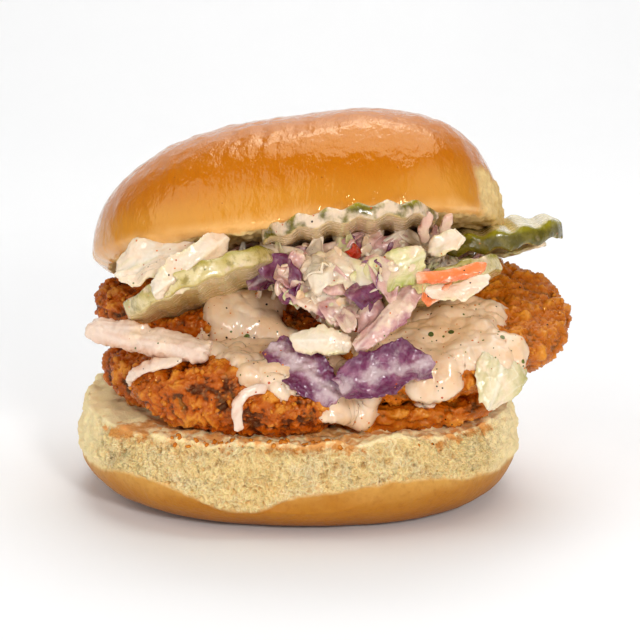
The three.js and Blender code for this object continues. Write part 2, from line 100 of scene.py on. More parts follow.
class BunSettings(bpy.types.PropertyGroup):
    """The two halves of the bun."""

    top_height: length_setting("Top height", "Height of the top bun's dome", 30.6 * MM)
    bottom_height: length_setting("Bottom height", "Height of the bottom bun's cut face", 22.5 * MM)
    tuft: length_setting("Crumb tufts", "How far the torn crumb stands proud", 1.2 * MM)
    wrinkle: length_setting("Wrinkles", "Depth of the crust's fine wrinkles", 0.4 * MM)
    crown_colour: colour_setting("Crown", "Baked middle of the top bun", srgb(196, 108, 0))
    crust_colour: colour_setting("Crust", "Golden crust lower down", srgb(212, 138, 40))
    rim_colour: colour_setting("Rim", "Palest crust, near the cut", srgb(246, 192, 120))
    crumb_colour: colour_setting("Crumb", "Soft torn bread", srgb(254, 224, 158))


class ChickenSettings(bpy.types.PropertyGroup):
    """The fried coating."""

    crag: length_setting("Crags", "Size of the coating's crags", 4.2 * MM)
    relief: length_setting("Relief", "Height of the coating's crags", 1.4 * MM)
    # Painted shade deep between the crags.
    deep_colour: colour_setting("Creases", "Colour deep between the crags", srgb(74, 18, 0))
    coat_colour: colour_setting("Coating", "Main colour of the coating", srgb(184, 80, 0))
    # The tips' colour is partly the coating's own gold and partly painted light.
    tip_colour: colour_setting("Tips", "Colour of the crags' tips", srgb(226, 144, 44))


class DressingSettings(bpy.types.PropertyGroup):
    """The pink dressing."""

    depth: length_setting("Depth", "How thick the dressing lies", 2.0 * MM)
    speck: length_setting("Specks", "Spacing of the specks of spice and herb", 1.3 * MM)
    dressing_colour: colour_setting("Dressing", "Colour of the dressing", srgb(236, 196, 154))
    pale_colour: colour_setting("Pale dressing", "Colour of its thick, pale parts", srgb(240, 212, 182))


class PickleSettings(bpy.types.PropertyGroup):
    """The crinkle-cut pickles."""

    flesh_colour: colour_setting("Flesh", "Colour of the cut face", srgb(216, 198, 134))
    core_colour: colour_setting("Core", "Colour of the seeded middle", srgb(196, 176, 98))
    skin_colour: colour_setting("Skin", "Colour of the skin", srgb(88, 78, 4))


class SaladSettings(bpy.types.PropertyGroup):
    """Cabbage, purple cabbage and carrot."""

    shreds: IntProperty(name="Shreds", description="Loose shreds on the heap of slaw", default=150, min=0)
    seed: IntProperty(name="Seed", description="Picks another arrangement of loose shreds", default=4)
    white_colour: colour_setting("White cabbage", "Pale inner leaves", srgb(234, 216, 192))
    green_colour: colour_setting("Green cabbage", "The green leaf", srgb(226, 214, 158))
    purple_colour: colour_setting("Purple cabbage", "Skin of the purple leaves", srgb(98, 22, 68))
    pink_colour: colour_setting("Pink cabbage", "Purple cabbage under dressing", srgb(218, 168, 156))
    stem_colour: colour_setting("Stems", "Pale pink stems", srgb(228, 188, 166))
    carrot_colour: colour_setting("Carrot", "Shredded carrot", srgb(244, 134, 74))


class StageSettings(bpy.types.PropertyGroup):
    """Camera, floor and lights."""

    elevation: FloatProperty(
        name="Elevation",
        description="Camera's height as an angle",
        default=math.radians(13),
        subtype="ANGLE",
    )
    distance: length_setting("Distance", "From the camera to what it looks at", 640 * MM)
    lens: FloatProperty(name="Lens", description="Focal length in millimetres", default=150, min=10)
    aim: FloatVectorProperty(
        name="Aim",
        description="Point in the middle of the picture",
        default=(5.2 * MM, 0, 40.1 * MM),
        subtype="TRANSLATION",
        unit="LENGTH",
    )
    floor_colour: colour_setting("Floor", "Colour of the floor", (0.95, 0.95, 0.95))
    key_power: power_setting("Key light", "softbox", 2.5)
    top_power: power_setting("Top light", "overhead light", 3.1)
    front_power: power_setting("Front light", "front light", 2.6)
    window_power: power_setting("Window", "light at the right", 1.0)
    back_power: power_setting("Backdrop", "light on the backdrop", 6)
    sky: FloatProperty(name="Room light", description="Strength of the light all round", default=0.13)


class BurgerSettings(bpy.types.PropertyGroup):
    """All settings of the burger."""

    bun: PointerProperty(type=BunSettings)
    chicken: PointerProperty(type=ChickenSettings)
    dressing: PointerProperty(type=DressingSettings)
    pickle: PointerProperty(type=PickleSettings)
    salad: PointerProperty(type=SaladSettings)
    stage: PointerProperty(type=StageSettings)


# Noise at many points at once

HASH_STEPS = (374761393, 668265263, 1442695041)
HASH_SEED = (1013904223, 12345)
HASH_TURNS = (2246822519, 3266489917)


def hashed(cell, seed):
    """A repeatable number from -1 to 1 for each whole-number cell."""
    steps = np.array(HASH_STEPS, np.uint32)
    mixed = (cell.astype(np.int64).astype(np.uint32) * steps).sum(axis=-1, dtype=np.uint32)
    mixed = mixed + np.uint32((seed * HASH_SEED[0] + HASH_SEED[1]) % 2**32)
    mixed = (mixed ^ (mixed >> np.uint32(15))) * np.uint32(HASH_TURNS[0])
    mixed = (mixed ^ (mixed >> np.uint32(13))) * np.uint32(HASH_TURNS[1])
    return (mixed ^ (mixed >> np.uint32(16))).astype(np.float64) / 2**31 - 1


def noise(points, size, seed=0):
    """Smooth noise of about -1 to 1, with features of one size or of one size along each axis."""
    scaled = points / np.asarray(size)
    base = np.floor(scaled)
    part = scaled - base
    ease = part**3 * (part * (part * 6 - 15) + 10)
    total = np.zeros(len(points))
    for corner in itertools.product((0, 1), repeat=3):
        weight = np.prod(np.where(corner, ease, 1 - ease), axis=1)
        offset = part - corner
        slope = sum(hashed(base + corner, seed * 3 + axis) * offset[:, axis] for axis in range(3))
        total += weight * slope
    return total * 1.4


def layered(points, size, seed=0, layers=4, gain=0.5):
    """Noise with finer and fainter noise on top."""
    return sum(gain**n * noise(points, size / 2**n, seed + 17 * n) for n in range(layers))


def nearest_two(points, size, seed=0):
    """Distances to the nearest and second nearest of scattered points, over their spacing."""
    scaled = points / size
    base = np.floor(scaled)
    first = np.full(len(points), 9.0)
    second = np.full(len(points), 9.0)
    for step in itertools.product((-1, 0, 1), repeat=3):
        cell = base + step
        away = np.zeros(len(points))
        for axis in range(3):
            place = cell[:, axis] + 0.5 + 0.45 * hashed(cell, seed * 3 + axis)
            away += (place - scaled[:, axis]) ** 2
        second = np.minimum(second, np.maximum(first, away))
        first = np.minimum(first, away)
    return np.sqrt(first), np.sqrt(second)


def jittered(points, reach, size, seed):
    """Points moved about by noise, so that what is made from them has no straight lines."""
    return points + reach * np.stack([noise(points, size, seed + axis) for axis in range(3)], axis=1)


def wall_distance(points, size, seed):
    """0 at the walls between scattered cells of a size, and larger towards their middles."""
    first, second = nearest_two(points, size, seed)
    return second - first


def eased(low, high, values):
    """0 below low, 1 above high and a smooth step between."""
    share = np.clip((values - low) / (high - low), 0, 1)
    return share * share * (3 - 2 * share)


# Meshes

def points_of(mesh):
    points = np.empty(len(mesh.vertices) * 3)
    mesh.vertices.foreach_get("co", points)
    return points.reshape(-1, 3)


def normals_of(mesh):
    normals = np.empty(len(mesh.vertices) * 3)
    mesh.vertex_normals.foreach_get("vector", normals)
    return normals.reshape(-1, 3)


def move_points(mesh, points):
    mesh.vertices.foreach_set("co", points.ravel())
    mesh.update()


def raise_surface(mesh, height):
    """Moves each point out along its normal by its height."""
    move_points(mesh, points_of(mesh) + normals_of(mesh) * np.asarray(height)[:, None])


def store(mesh, name, values):
    """Keeps a number for each point, for a material to read."""
    attribute = mesh.attributes.new(name, "FLOAT", "POINT")
    attribute.data.foreach_set("value", np.asarray(values, np.float32))


def shade_smooth(mesh):
    mesh.polygons.foreach_set("use_smooth", np.ones(len(mesh.polygons), bool))
    mesh.update()


def finished(block, name):
    """The mesh of a bmesh, which is freed."""
    mesh = bpy.data.meshes.new(name)
    block.to_mesh(mesh)
    block.free()
    shade_smooth(mesh)
    return mesh


def joined_nodes(*nodes):
    """A bmesh that holds CAD solids, with their loose triangles merged."""
    block = bmesh.new()
    for node in nodes:
        block.from_mesh(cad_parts[node].data)
    bmesh.ops.remove_doubles(block, verts=block.verts, dist=MERGE)
    return block


def refined(block, name, voxel, soften, levels):
    """A fine, even, closed mesh of a bmesh's shape, with its facets softened away."""
    rough = finished(block, name)
    holder = bpy.data.objects.new(name, rough)
    bpy.context.scene.collection.objects.link(holder)
    even = holder.modifiers.new("Even", "REMESH")
    even.mode = "VOXEL"
    even.voxel_size = voxel
    soft = holder.modifiers.new("Soft", "SMOOTH")
    soft.factor = 0.5
    soft.iterations = soften
    if levels:
        fine = holder.modifiers.new("Fine", "SUBSURF")
        fine.levels = levels
        fine.render_levels = levels
    graph = bpy.context.evaluated_depsgraph_get()
    mesh = bpy.data.meshes.new_from_object(holder.evaluated_get(graph))
    bpy.data.objects.remove(holder)
    bpy.data.meshes.remove(rough)
    mesh.name = name
    shade_smooth(mesh)
    return mesh


def add_piece(name, mesh, material, slot, *nodes):
    """Puts a finished mesh in the scene, riding on the burger and standing for CAD nodes."""
    piece = bpy.data.objects.new(name, mesh)
    bpy.context.scene.collection.objects.link(piece)
    mesh.materials.clear()
    mesh.materials.append(material)
    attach(piece, BODY)
    if nodes:
        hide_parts(*nodes)


# Materials

def combining(operation, flipped=False):
    """A method that joins a link and another value, in this order or flipped, with a Math node."""
    def combine(self, other):
        values = (other, self) if flipped else (self, other)
        return self.paint.maths(operation, *values)
    return combine


class Link:
    """A value or a colour in a material. Python's operators combine values with Math nodes."""

    __add__ = combining("ADD")
    __radd__ = combining("ADD", flipped=True)
    __sub__ = combining("SUBTRACT")
    __rsub__ = combining("SUBTRACT", flipped=True)
    __mul__ = combining("MULTIPLY")
    __rmul__ = combining("MULTIPLY", flipped=True)
    __lt__ = combining("LESS_THAN")
    __gt__ = combining("GREATER_THAN")

    def __init__(self, paint, socket):
        self.paint = paint
        self.socket = socket

    def clipped(self):
        """The value kept between 0 and 1."""
        return self.paint.node("ShaderNodeClamp", {}, {"Value": self})

    def step(self, low, high):
        """0 below low, 1 above high and a smooth step between."""
        settings = {"interpolation_type": "SMOOTHSTEP"}
        return self.paint.node("ShaderNodeMapRange", settings, {"Value": self, 1: low, 2: high})


NOISE_ROUGHNESS = 0.55
WARP_SCALE = 0.7


class Paint:
    """A material made of nodes round one Principled shader."""

    def __init__(self, name, scatter=None, **constants):
        """scatter holds the weight, the red, green and blue reach and the depth in metres."""
        if scatter:
            weight, reach, depth = scatter
            constants.update(Subsurface_Weight=weight, Subsurface_Radius=reach, Subsurface_Scale=depth)
        self.material = bpy.data.materials.new(name)
        self.material.use_nodes = True
        self.tree = self.material.node_tree
        self.shader = self.tree.nodes["Principled BSDF"]
        for socket, value in constants.items():
            self.shader.inputs[socket.replace("_", " ")].default_value = value
        self.coordinates = self.node("ShaderNodeTexCoord", {}, {}, "Object")

    def node(self, kind, settings, values, output=None):
        """Adds a node and gives one of its outputs, the first unless one is named."""
        made = self.tree.nodes.new(kind)
        for key, setting in settings.items():
            setattr(made, key, setting)
        for key, value in values.items():
            if isinstance(value, Link):
                self.tree.links.new(value.socket, made.inputs[key])
            else:
                made.inputs[key].default_value = value
        if output is None:
            output = next(i for i, socket in enumerate(made.outputs) if socket.enabled)
        return Link(self, made.outputs[output])

    def maths(self, operation, *values):
        return self.node("ShaderNodeMath", {"operation": operation}, dict(enumerate(values)))

    def attribute(self, name):
        """A number that store() kept on the mesh."""
        return self.node("ShaderNodeAttribute", {"attribute_name": name}, {}, "Fac")

    def noise(self, size, detail=3, stretch=(1, 1, 1)):
        """Noise from 0 to 1 with features of a size in metres."""
        place = self.node("ShaderNodeMapping", {}, {"Vector": self.coordinates, "Scale": stretch})
        values = {"Vector": place, "Scale": 1 / size, "Detail": detail, "Roughness": NOISE_ROUGHNESS}
        return self.node("ShaderNodeTexNoise", {}, values)

    def around(self, reach, size, detail):
        """Noise with its middle at 0, half a reach to either side."""
        return (self.noise(size, detail) - 0.5) * reach

    def cells(self, size, warp):
        """Distance to the nearest wall of warped cells, over their size."""
        values = {"Vector": self.coordinates, "Scale": WARP_SCALE / size, "Detail": 2.0}
        bent = self.node("ShaderNodeTexNoise", {}, values, "Color")
        shift = self.node("ShaderNodeVectorMath", {"operation": "SUBTRACT"}, {0: bent, 1: (0.5,) * 3})
        values = {0: shift, 1: (warp * 2,) * 3, 2: self.coordinates}
        place = self.node("ShaderNodeVectorMath", {"operation": "MULTIPLY_ADD"}, values)
        values = {"Vector": place, "Scale": 1 / size}
        return self.node("ShaderNodeTexVoronoi", {"feature": "DISTANCE_TO_EDGE"}, values)

    def mix(self, share, below, above):
        """Two colours mixed: below at 0 and above at 1."""
        colours = [c if isinstance(c, Link) else (*c, 1) for c in (below, above)]
        values = {0: share, 6: colours[0], 7: colours[1]}
        return self.node("ShaderNodeMix", {"data_type": "RGBA"}, values, 2)

    def ramp(self, value, *stops):
        """A colour from a value: each stop is a place and a colour."""
        colour = self.mix(0.0, stops[0][1], stops[0][1])
        for (start, _), (end, shade) in itertools.pairwise(stops):
            colour = self.mix(value.step(start, end), colour, shade)
        return colour

    def specks(self, colour, spacing, reach, share, *shades):
        """A colour with scattered specks, each of one of the shades."""
        values = {"Vector": self.coordinates, "Scale": 1 / spacing}
        distance = self.node("ShaderNodeTexVoronoi", {}, values, "Distance")
        pick = self.node("ShaderNodeTexVoronoi", {}, values, "Color")
        parts = [self.node("ShaderNodeSeparateColor", {}, {"Color": pick}, n) for n in range(3)]
        mask = (distance < reach * (0.4 + parts[2])) * (parts[0] < share)
        shade = shades[0]
        for n, other in enumerate(shades[1:], 1):
            shade = self.mix(parts[1] > n / len(shades), shade, other)
        return self.mix(mask, colour, shade)

    def wet_film(self, colour, film, amount):
        """A colour partly under thin, specked dressing."""
        mask = self.noise(5 * MM, 4).step(0.62 - amount * 0.45, 0.82 - amount * 0.45) * 0.85
        filmed = self.mix(mask, colour, film)
        return self.specks(filmed, 1.6 * MM, 0.13, 0.35, *SPECK_SHADES)

    def finish(self, colour, roughness=None, bumps=()):
        """Links what varies to the shader. A bump is a height from 0 to 1 and a depth in metres."""
        self.tree.links.new(colour.socket, self.shader.inputs["Base Color"])
        if roughness is not None:
            self.tree.links.new(roughness.socket, self.shader.inputs["Roughness"])
        normal = None
        for height, depth in bumps:
            values = {"Height": height, "Distance": depth, "Strength": 1.0}
            if normal is not None:
                values["Normal"] = normal
            normal = self.node("ShaderNodeBump", {}, values)
        if normal is not None:
            self.tree.links.new(normal.socket, self.shader.inputs["Normal"])
        return self.material


SPECK_SHADES = (srgb(190, 74, 24), srgb(226, 130, 60), srgb(96, 104, 36), srgb(52, 34, 22))
HERB_SHADES = (srgb(200, 80, 30), srgb(104, 112, 44), srgb(70, 84, 34))
SPICE_SHADES = (srgb(60, 22, 8), srgb(240, 178, 90), srgb(40, 16, 8))
FRECKLE_SHADES = (srgb(160, 84, 18), srgb(178, 98, 24))
WARM_SCATTER = (1.0, 0.5, 0.25)
CRUST_GLOSS = (1.0, 0.88, 0.5, 1.0)
COATING_GLOSS = (1.0, 0.82, 0.42, 1.0)

TORN_SHADE = srgb(196, 152, 92)
WHITE_CRUMB = srgb(253, 238, 196)
CUT_CRUMB = srgb(253, 232, 182)
# Painted shade for the holes between the crumb's threads.
CRUMB_GAP = srgb(206, 144, 60)
# Painted shade for the pits and low parts of the torn crumb.
CRUMB_HOLLOW = srgb(200, 140, 60)
OIL_STAIN = srgb(220, 134, 38)
HEEL_SHADES = ((0.0, srgb(152, 88, 16)), (0.5, srgb(182, 118, 32)), (1.0, srgb(214, 160, 78)))
HEEL_MOTTLE = srgb(150, 82, 18)

DARK_COATING = srgb(150, 56, 0)
SANDY_COATING = srgb(198, 116, 22)
OILY_DRESSING = srgb(226, 160, 104)

PICKLE_SEED = srgb(226, 214, 156)
PICKLE_RIM = srgb(170, 160, 42)
PEELED_WALL = (srgb(222, 202, 150), srgb(190, 168, 88))
PEELED_PATCH = srgb(134, 112, 30)
SKIN_BLOTCH = srgb(122, 108, 18)
PICKLE_LINE = srgb(150, 138, 4)

LEAF_VEIN = srgb(246, 238, 220)
VIOLET_FLESH = (srgb(112, 30, 80), srgb(152, 84, 112))
VIOLET_VEIN = srgb(206, 170, 176)
MILKY_FILM = srgb(214, 192, 188)


def crust_paint(bun):
    """Glazed golden crust, paler towards the rim, with torn crumb where the bun was pulled apart."""
    paint = Paint(
        "Bun crust", (0.12, WARM_SCATTER, 1.5 * MM), Specular_IOR_Level=0.9, Specular_Tint=CRUST_GLOSS
    )
    baked = paint.ramp(
        paint.attribute("rise") + paint.around(0.26, 14 * MM, 3),
        (-0.05, bun.rim_colour),
        (0.14, bun.crust_colour),
        (0.44, bun.crown_colour),
    )
    mottled = paint.mix(paint.noise(2.2 * MM, 4).step(0.45, 0.8) * 0.15, baked, bun.crust_colour)
    freckled = paint.specks(mottled, 2.8 * MM, 0.09, 0.16, *FRECKLE_SHADES)
    torn = paint.attribute("torn")
    crumb = paint.mix(paint.noise(1.6 * MM, 5), bun.crumb_colour, TORN_SHADE)
    wrinkles = paint.noise(3.6 * MM, 4, stretch=(1.0, 0.45, 0.45))
    pits = paint.noise(0.9 * MM, 2, stretch=(1.0, 1.0, 0.4)).step(0.25, 0.6)
    gloss = 0.10 + torn * 0.8 + paint.noise(5 * MM, 3).step(0.4, 0.8) * 0.12
    bumps = [(wrinkles, bun.wrinkle), (pits, 0.04 * MM)]
    return paint.finish(paint.mix(torn, freckled, crumb), gloss, bumps)


def crumb_paint(bun):
    """Soft torn crumb made of threads, with painted shade in its holes and pits, and the bottom bun's
    golden crust below it.
    """
    paint = Paint("Bun crumb", (0.2, WARM_SCATTER, 1.5 * MM), Specular_IOR_Level=0.2)
    hollow = paint.attribute("hollow")
    threads = paint.cells(0.95 * MM, 0.9 * MM).step(0.02, 0.34)
    fine = paint.cells(0.5 * MM, 0.6 * MM).step(0.02, 0.4)
    front = paint.attribute("front")
    gaps = (threads * 0.6 + fine * 0.4) * (0.25 + front * 0.75)
    crumb = paint.mix(paint.noise(5 * MM, 4).step(0.4, 0.75) * 0.5, bun.crumb_colour, WHITE_CRUMB)
    crumb = paint.mix((1 - front) * 0.6, crumb, CUT_CRUMB)
    # Painted shade: the crumb darkens in the holes between its threads, more at the torn front.
    crumb = paint.mix(gaps * 0.5, crumb, CRUMB_GAP)
    # Painted shade and light: darker in the pits and low relief, lighter on the raised tufts.
    crumb = paint.mix(hollow.step(0.4, 1.0) * 0.4, crumb, CRUMB_HOLLOW)
    patches = paint.around(2.4, 2.8 * MM, 5) + paint.around(1.6, 15 * MM, 1)
    stain = (paint.attribute("stain") * 0.75 + patches).step(0.5, 1.0)
    crumb = paint.mix(stain * 0.8, crumb, OIL_STAIN)
    crust = paint.ramp(paint.attribute("rise") + paint.around(0.5, 7 * MM, 4), *HEEL_SHADES)
    crust = paint.mix(paint.noise(1.6 * MM, 4).step(0.45, 0.75) * 0.3, crust, HEEL_MOTTLE)
    skin = paint.attribute("skin")
    rough = 0.92 - skin * 0.45
    relief = (1 - gaps) * (1 - skin) + paint.noise(1.4 * MM, 4) * skin
    return paint.finish(paint.mix(skin, crumb, crust), rough, [(relief, 0.32 * MM)])


def chicken_paint(chicken):
    """Craggy fried coating: painted shade darkens the creases, the tips are golden partly from the
    coating's own colour and partly from painted light, oily in places.
    """
    paint = Paint(
        "Fried coating", (0.05, WARM_SCATTER, 1 * MM), Specular_IOR_Level=0.6, Specular_Tint=COATING_GLOSS
    )
    golden = paint.attribute("golden")
    # Colour by crag height: painted shade in the creases, and tips lighter partly from painted light.
    colour = paint.ramp(
        paint.attribute("height") + paint.around(0.55, 1.0 * MM, 4) + golden * 0.06,
        (0.08, chicken.deep_colour),
        (0.4, chicken.coat_colour),
        (0.92, chicken.tip_colour),
    )
    dark = paint.noise(8 * MM, 3).step(0.45, 0.7) * (1 - golden) * 0.4
    sandy = golden * 0.35 + paint.noise(5 * MM, 3).step(0.55, 0.75) * 0.4
    patchy = paint.mix(sandy, paint.mix(dark, colour, DARK_COATING), SANDY_COATING)
    specked = paint.specks(patchy, 1.4 * MM, 0.13, 0.35, *SPICE_SHADES)
    gloss = 0.11 + paint.noise(2.6 * MM, 3).step(0.35, 0.65) * 0.2
    return paint.finish(specked, gloss, [(paint.noise(0.6 * MM, 4), 0.24 * MM)])


def dressing_paint(dressing):
    """Wet, creamy dressing with specks of spice, red pepper and herb."""
    paint = Paint("Dressing", (0.25, WARM_SCATTER, 1.4 * MM), Specular_IOR_Level=0.8)
    thick = paint.noise(6 * MM, 3).step(0.35, 0.7)
    colour = paint.mix(thick, dressing.dressing_colour, dressing.pale_colour)
    oily = paint.mix(paint.noise(3.2 * MM, 4).step(0.6, 0.8) * 0.5, colour, OILY_DRESSING)
    specked = paint.specks(oily, dressing.speck, 0.17, 0.6, *SPECK_SHADES)
    herbed = paint.specks(specked, 4.2 * MM, 0.15, 0.6, *HERB_SHADES)
    gloss = 0.1 + paint.noise(2 * MM, 2) * 0.2
    return paint.finish(herbed, gloss, [(paint.noise(3 * MM, 3), 0.3 * MM)])


def pickle_paint(pickle, dressing):
    """Wet pickle: pale flesh, a seeded middle and olive skin on the rim."""
    paint = Paint(
        "Pickle", (0.3, (1.0, 0.85, 0.35), 2 * MM), Coat_Weight=0.2, Coat_Roughness=0.1,
        Specular_IOR_Level=0.6,
    )
    reach = paint.attribute("reach")
    flesh = paint.mix(reach.step(0.35, 0.72), pickle.core_colour, pickle.flesh_colour)
    seeds = (paint.noise(3 * MM, 1) > 0.64) * (reach < 0.6) * 0.25
    rimmed = paint.mix(reach.step(0.9, 0.97) * 0.6, paint.mix(seeds, flesh, PICKLE_SEED), PICKLE_RIM)
    pale = paint.mix(paint.noise(3.5 * MM, 4).step(0.35, 0.7), *PEELED_WALL)
    pale = paint.mix(paint.noise(2.2 * MM, 4).step(0.5, 0.66) * 0.7, pale, PEELED_PATCH)
    skin = paint.mix(paint.noise(2.6 * MM, 4).step(0.35, 0.7), pickle.skin_colour, SKIN_BLOTCH)
    patchy = paint.attribute("peel") * 1.5 + paint.noise(4 * MM, 4) - 0.85
    on_wall = paint.attribute("wall")
    body = paint.mix(on_wall, rimmed, paint.mix(patchy.step(0.0, 0.25), pale, skin))
    line = paint.attribute("corner") * (0.5 + paint.noise(2 * MM, 3))
    body = paint.mix(line.clipped() * 0.9, body, PICKLE_LINE)
    film = paint.attribute("film")
    wall = paint.wet_film(body, dressing.pale_colour, film)
    face = paint.mix(film, body, dressing.dressing_colour)
    gloss = 0.14 + paint.noise(2 * MM, 2) * 0.24
    relief = paint.noise(1.4 * MM, 2) * on_wall
    return paint.finish(paint.mix(on_wall, face, wall), gloss, [(relief, 0.12 * MM)])


def leaf_paint(name, colour, edge_colour, dressing, film):
    """A dressed leaf: veins, a darker or greener edge and a film of dressing."""
    paint = Paint(
        name, (0.35, (1.0, 0.8, 0.6), 1.6 * MM), Coat_Weight=0.1, Coat_Roughness=0.1,
        Specular_IOR_Level=0.6,
    )
    edge = paint.attribute("edge") + paint.around(0.5, 3 * MM, 3)
    body = paint.mix(edge.step(0.45, 1.0), colour, edge_colour)
    veined = paint.mix(paint.attribute("vein") * 0.6, body, LEAF_VEIN)
    shaded = paint.mix(paint.attribute("streak").step(0.0, 0.6) * 0.45, veined, edge_colour)
    streaked = paint.mix(paint.noise(1.6 * MM, 3).step(0.5, 0.8) * 0.25, shaded, dressing.pale_colour)
    filmed = paint.wet_film(streaked, dressing.pale_colour, film)
    gloss = 0.1 + paint.noise(2.2 * MM, 2) * 0.3
    return paint.finish(filmed, gloss, [(paint.noise(1.1 * MM, 3), 0.16 * MM)])


def purple_paint(salad):
    """Purple cabbage: dark skin at the curled edges, violet flesh and whitish dressing between."""
    paint = Paint("Purple cabbage", (0.12, (1.0, 0.5, 0.7), 1 * MM), Specular_IOR_Level=0.9)
    edge = paint.attribute("edge") + paint.around(0.9, 4 * MM, 4)
    violet = paint.mix(paint.noise(2.5 * MM, 3).step(0.35, 0.7), *VIOLET_FLESH)
    body = paint.mix(edge.step(0.3, 0.7), violet, salad.purple_colour)
    veined = paint.mix(paint.attribute("vein") * 0.35, body, VIOLET_VEIN)
    milky = (1 - edge + paint.around(1.4, 3 * MM, 4)).step(0.5, 1.05) * 0.7
    filmed = paint.mix(milky, veined, MILKY_FILM)
    specked = paint.specks(filmed, 1.8 * MM, 0.12, 0.3, *SPECK_SHADES)
    gloss = 0.06 + paint.noise(2 * MM, 2) * 0.22
    return paint.finish(specked, gloss, [(paint.noise(2 * MM, 4), 0.45 * MM)])


def floor_paint(colour):
    """One soft colour with faint mottling."""
    paint = Paint("Pale floor", Roughness=0.9)
    darker = tuple(channel * 0.9 for channel in colour)
    return paint.finish(paint.mix(paint.noise(20 * MM, 2) * 0.1, colour, darker))


# Bread

BUN_TOP_HALF = (49.3 * MM, 46.5 * MM)
BUN_TOP_AT = Vector((0, 5 * MM, 55.6 * MM))
BUN_TOP_TURN = Euler([math.radians(a) for a in (-18.4, -7.8, -5.6)], "XYZ")
BUN_BOTTOM_HALF = (52.5 * MM, 49.5 * MM)
BUN_BELLY = 12.5 * MM
BUN_FOOT = (0.62, 0.74)
TORN_FRONT = 47.5 * MM
BALL_CUTS = 7
TOP_CROWDING = 0.2
FRONT_CROWDING = 0.45

# Tilt on the ball where the top bun's cut face ends, the height of the rounded lip above it and
# how much more the lip has at the left.
CUT_TILT = -0.42
LIP = (1.6 * MM, 2.4 * MM)

# Along X, where the torn strip at the right begins and is whole, and the same for its upper end.
TORN_STRIP = (45.4 * MM, 46.8 * MM)
TORN_STRIP_TOP = (10 * MM, 13 * MM)

# How far forward and how high the bottom bun's finer mesh begins.
FINE_CRUMB_FROM = (24 * MM, 4.5 * MM)
RIM_LIFT = 1.5 * MM
CRUST_LINE = 10.4 * MM
CRUST_LINE_BEHIND = 20 * MM

# Middle and spread along X of each wave of the crust's edge, and its height, in mm.
CRUST_WAVES = ((-37, 9, 2.4), (-13, 9, -4.4), (24, 14, 3.0))


def rounded_reach(half, power, angle):
    """Distance from the middle to a rounded-square outline."""
    along = (np.abs(np.cos(angle) / half[0])) ** power + (np.abs(np.sin(angle) / half[1])) ** power
    return along ** (-1 / power)


def ball(name, crowding):
    """A fine round ball of radius 1, and the angle and the tilt of each of its points.

    Crowding makes the mesh finer at the front and coarser at the back.
    """
    block = bmesh.new()
    bmesh.ops.create_icosphere(block, subdivisions=BALL_CUTS, radius=1)
    mesh = finished(block, name)
    points = points_of(mesh) - (0, crowding, 0)
    points /= np.linalg.norm(points, axis=1)[:, None]
    return mesh, np.arctan2(points[:, 1], points[:, 0]), np.arcsin(np.clip(points[:, 2], -1, 1))


def bun_top_mesh(bun):
    """The dome on its own cut face, then leaned back on the filling."""
    mesh, angle, tilt = ball("bun_top_crust", TOP_CROWDING)
    rightness = (1 + np.cos(angle)) / 2
    reach = rounded_reach(BUN_TOP_HALF, 2.1 + 1.5 * rightness, angle)
    lip = LIP[0] + LIP[1] * (1 - rightness) ** 4
    up = np.clip((tilt - CUT_TILT) / (math.pi / 2 - CUT_TILT), 0, 1) * math.pi / 2
    power = 2.35 + 0.85 * rightness
    scale = (np.cos(up) ** power + np.sin(up) ** power) ** (-1 / power)
    height = bun.top_height * scale * np.sin(up)
    drawn_in = lip / BUN_TOP_HALF[0] * (1 - np.clip(height / lip, 0, 1)) ** 2
    share = scale * np.cos(up) - drawn_in
    below = tilt < CUT_TILT
    inward = np.clip((tilt + math.pi / 2) / (CUT_TILT + math.pi / 2), 0, 1)
    share = np.where(below, inward * (1 - lip / BUN_TOP_HALF[0]), share)
    height = np.where(below, 0.8 * MM * (1 - inward), height)
    points = np.stack([reach * share * np.cos(angle), reach * share * np.sin(angle), height], axis=1)
    move_points(mesh, points)

    torn = eased(*TORN_STRIP, points[:, 0] + 1.6 * MM * noise(points, 6 * MM, 3))
    torn *= 1 - eased(*TORN_STRIP_TOP, height + 2 * MM * noise(points, 4 * MM, 8))
    torn = np.maximum(torn, below * 1.0)
    skin = 0.35 * MM * noise(points, 16 * MM, 1) + 0.2 * MM * layered(points, 6 * MM, 2, 3)
    high = eased(0.35, 0.85, height / bun.top_height)
    folds = noise(points + 2 * MM * noise(points, 9 * MM, 6)[:, None], np.array((2.6, 12, 12)) * MM, 5)
    skin += 0.26 * MM * folds * high + 0.07 * MM * noise(points, 1.8 * MM, 9) * (0.3 + high)
    craters = eased(0.45, 0.1, nearest_two(points, 2.2 * MM)[0])
    fluff = bun.tuft * (layered(points, 3 * MM, 7, 4) - 0.5 * craters)
    raise_surface(mesh, skin * (1 - torn) + 0.8 * fluff * torn)
    store(mesh, "rise", np.clip(height / bun.top_height, 0, 1))
    store(mesh, "torn", torn)
    mesh.transform(Matrix.Translation(BUN_TOP_AT) @ BUN_TOP_TURN.to_matrix().to_4x4())
    return mesh


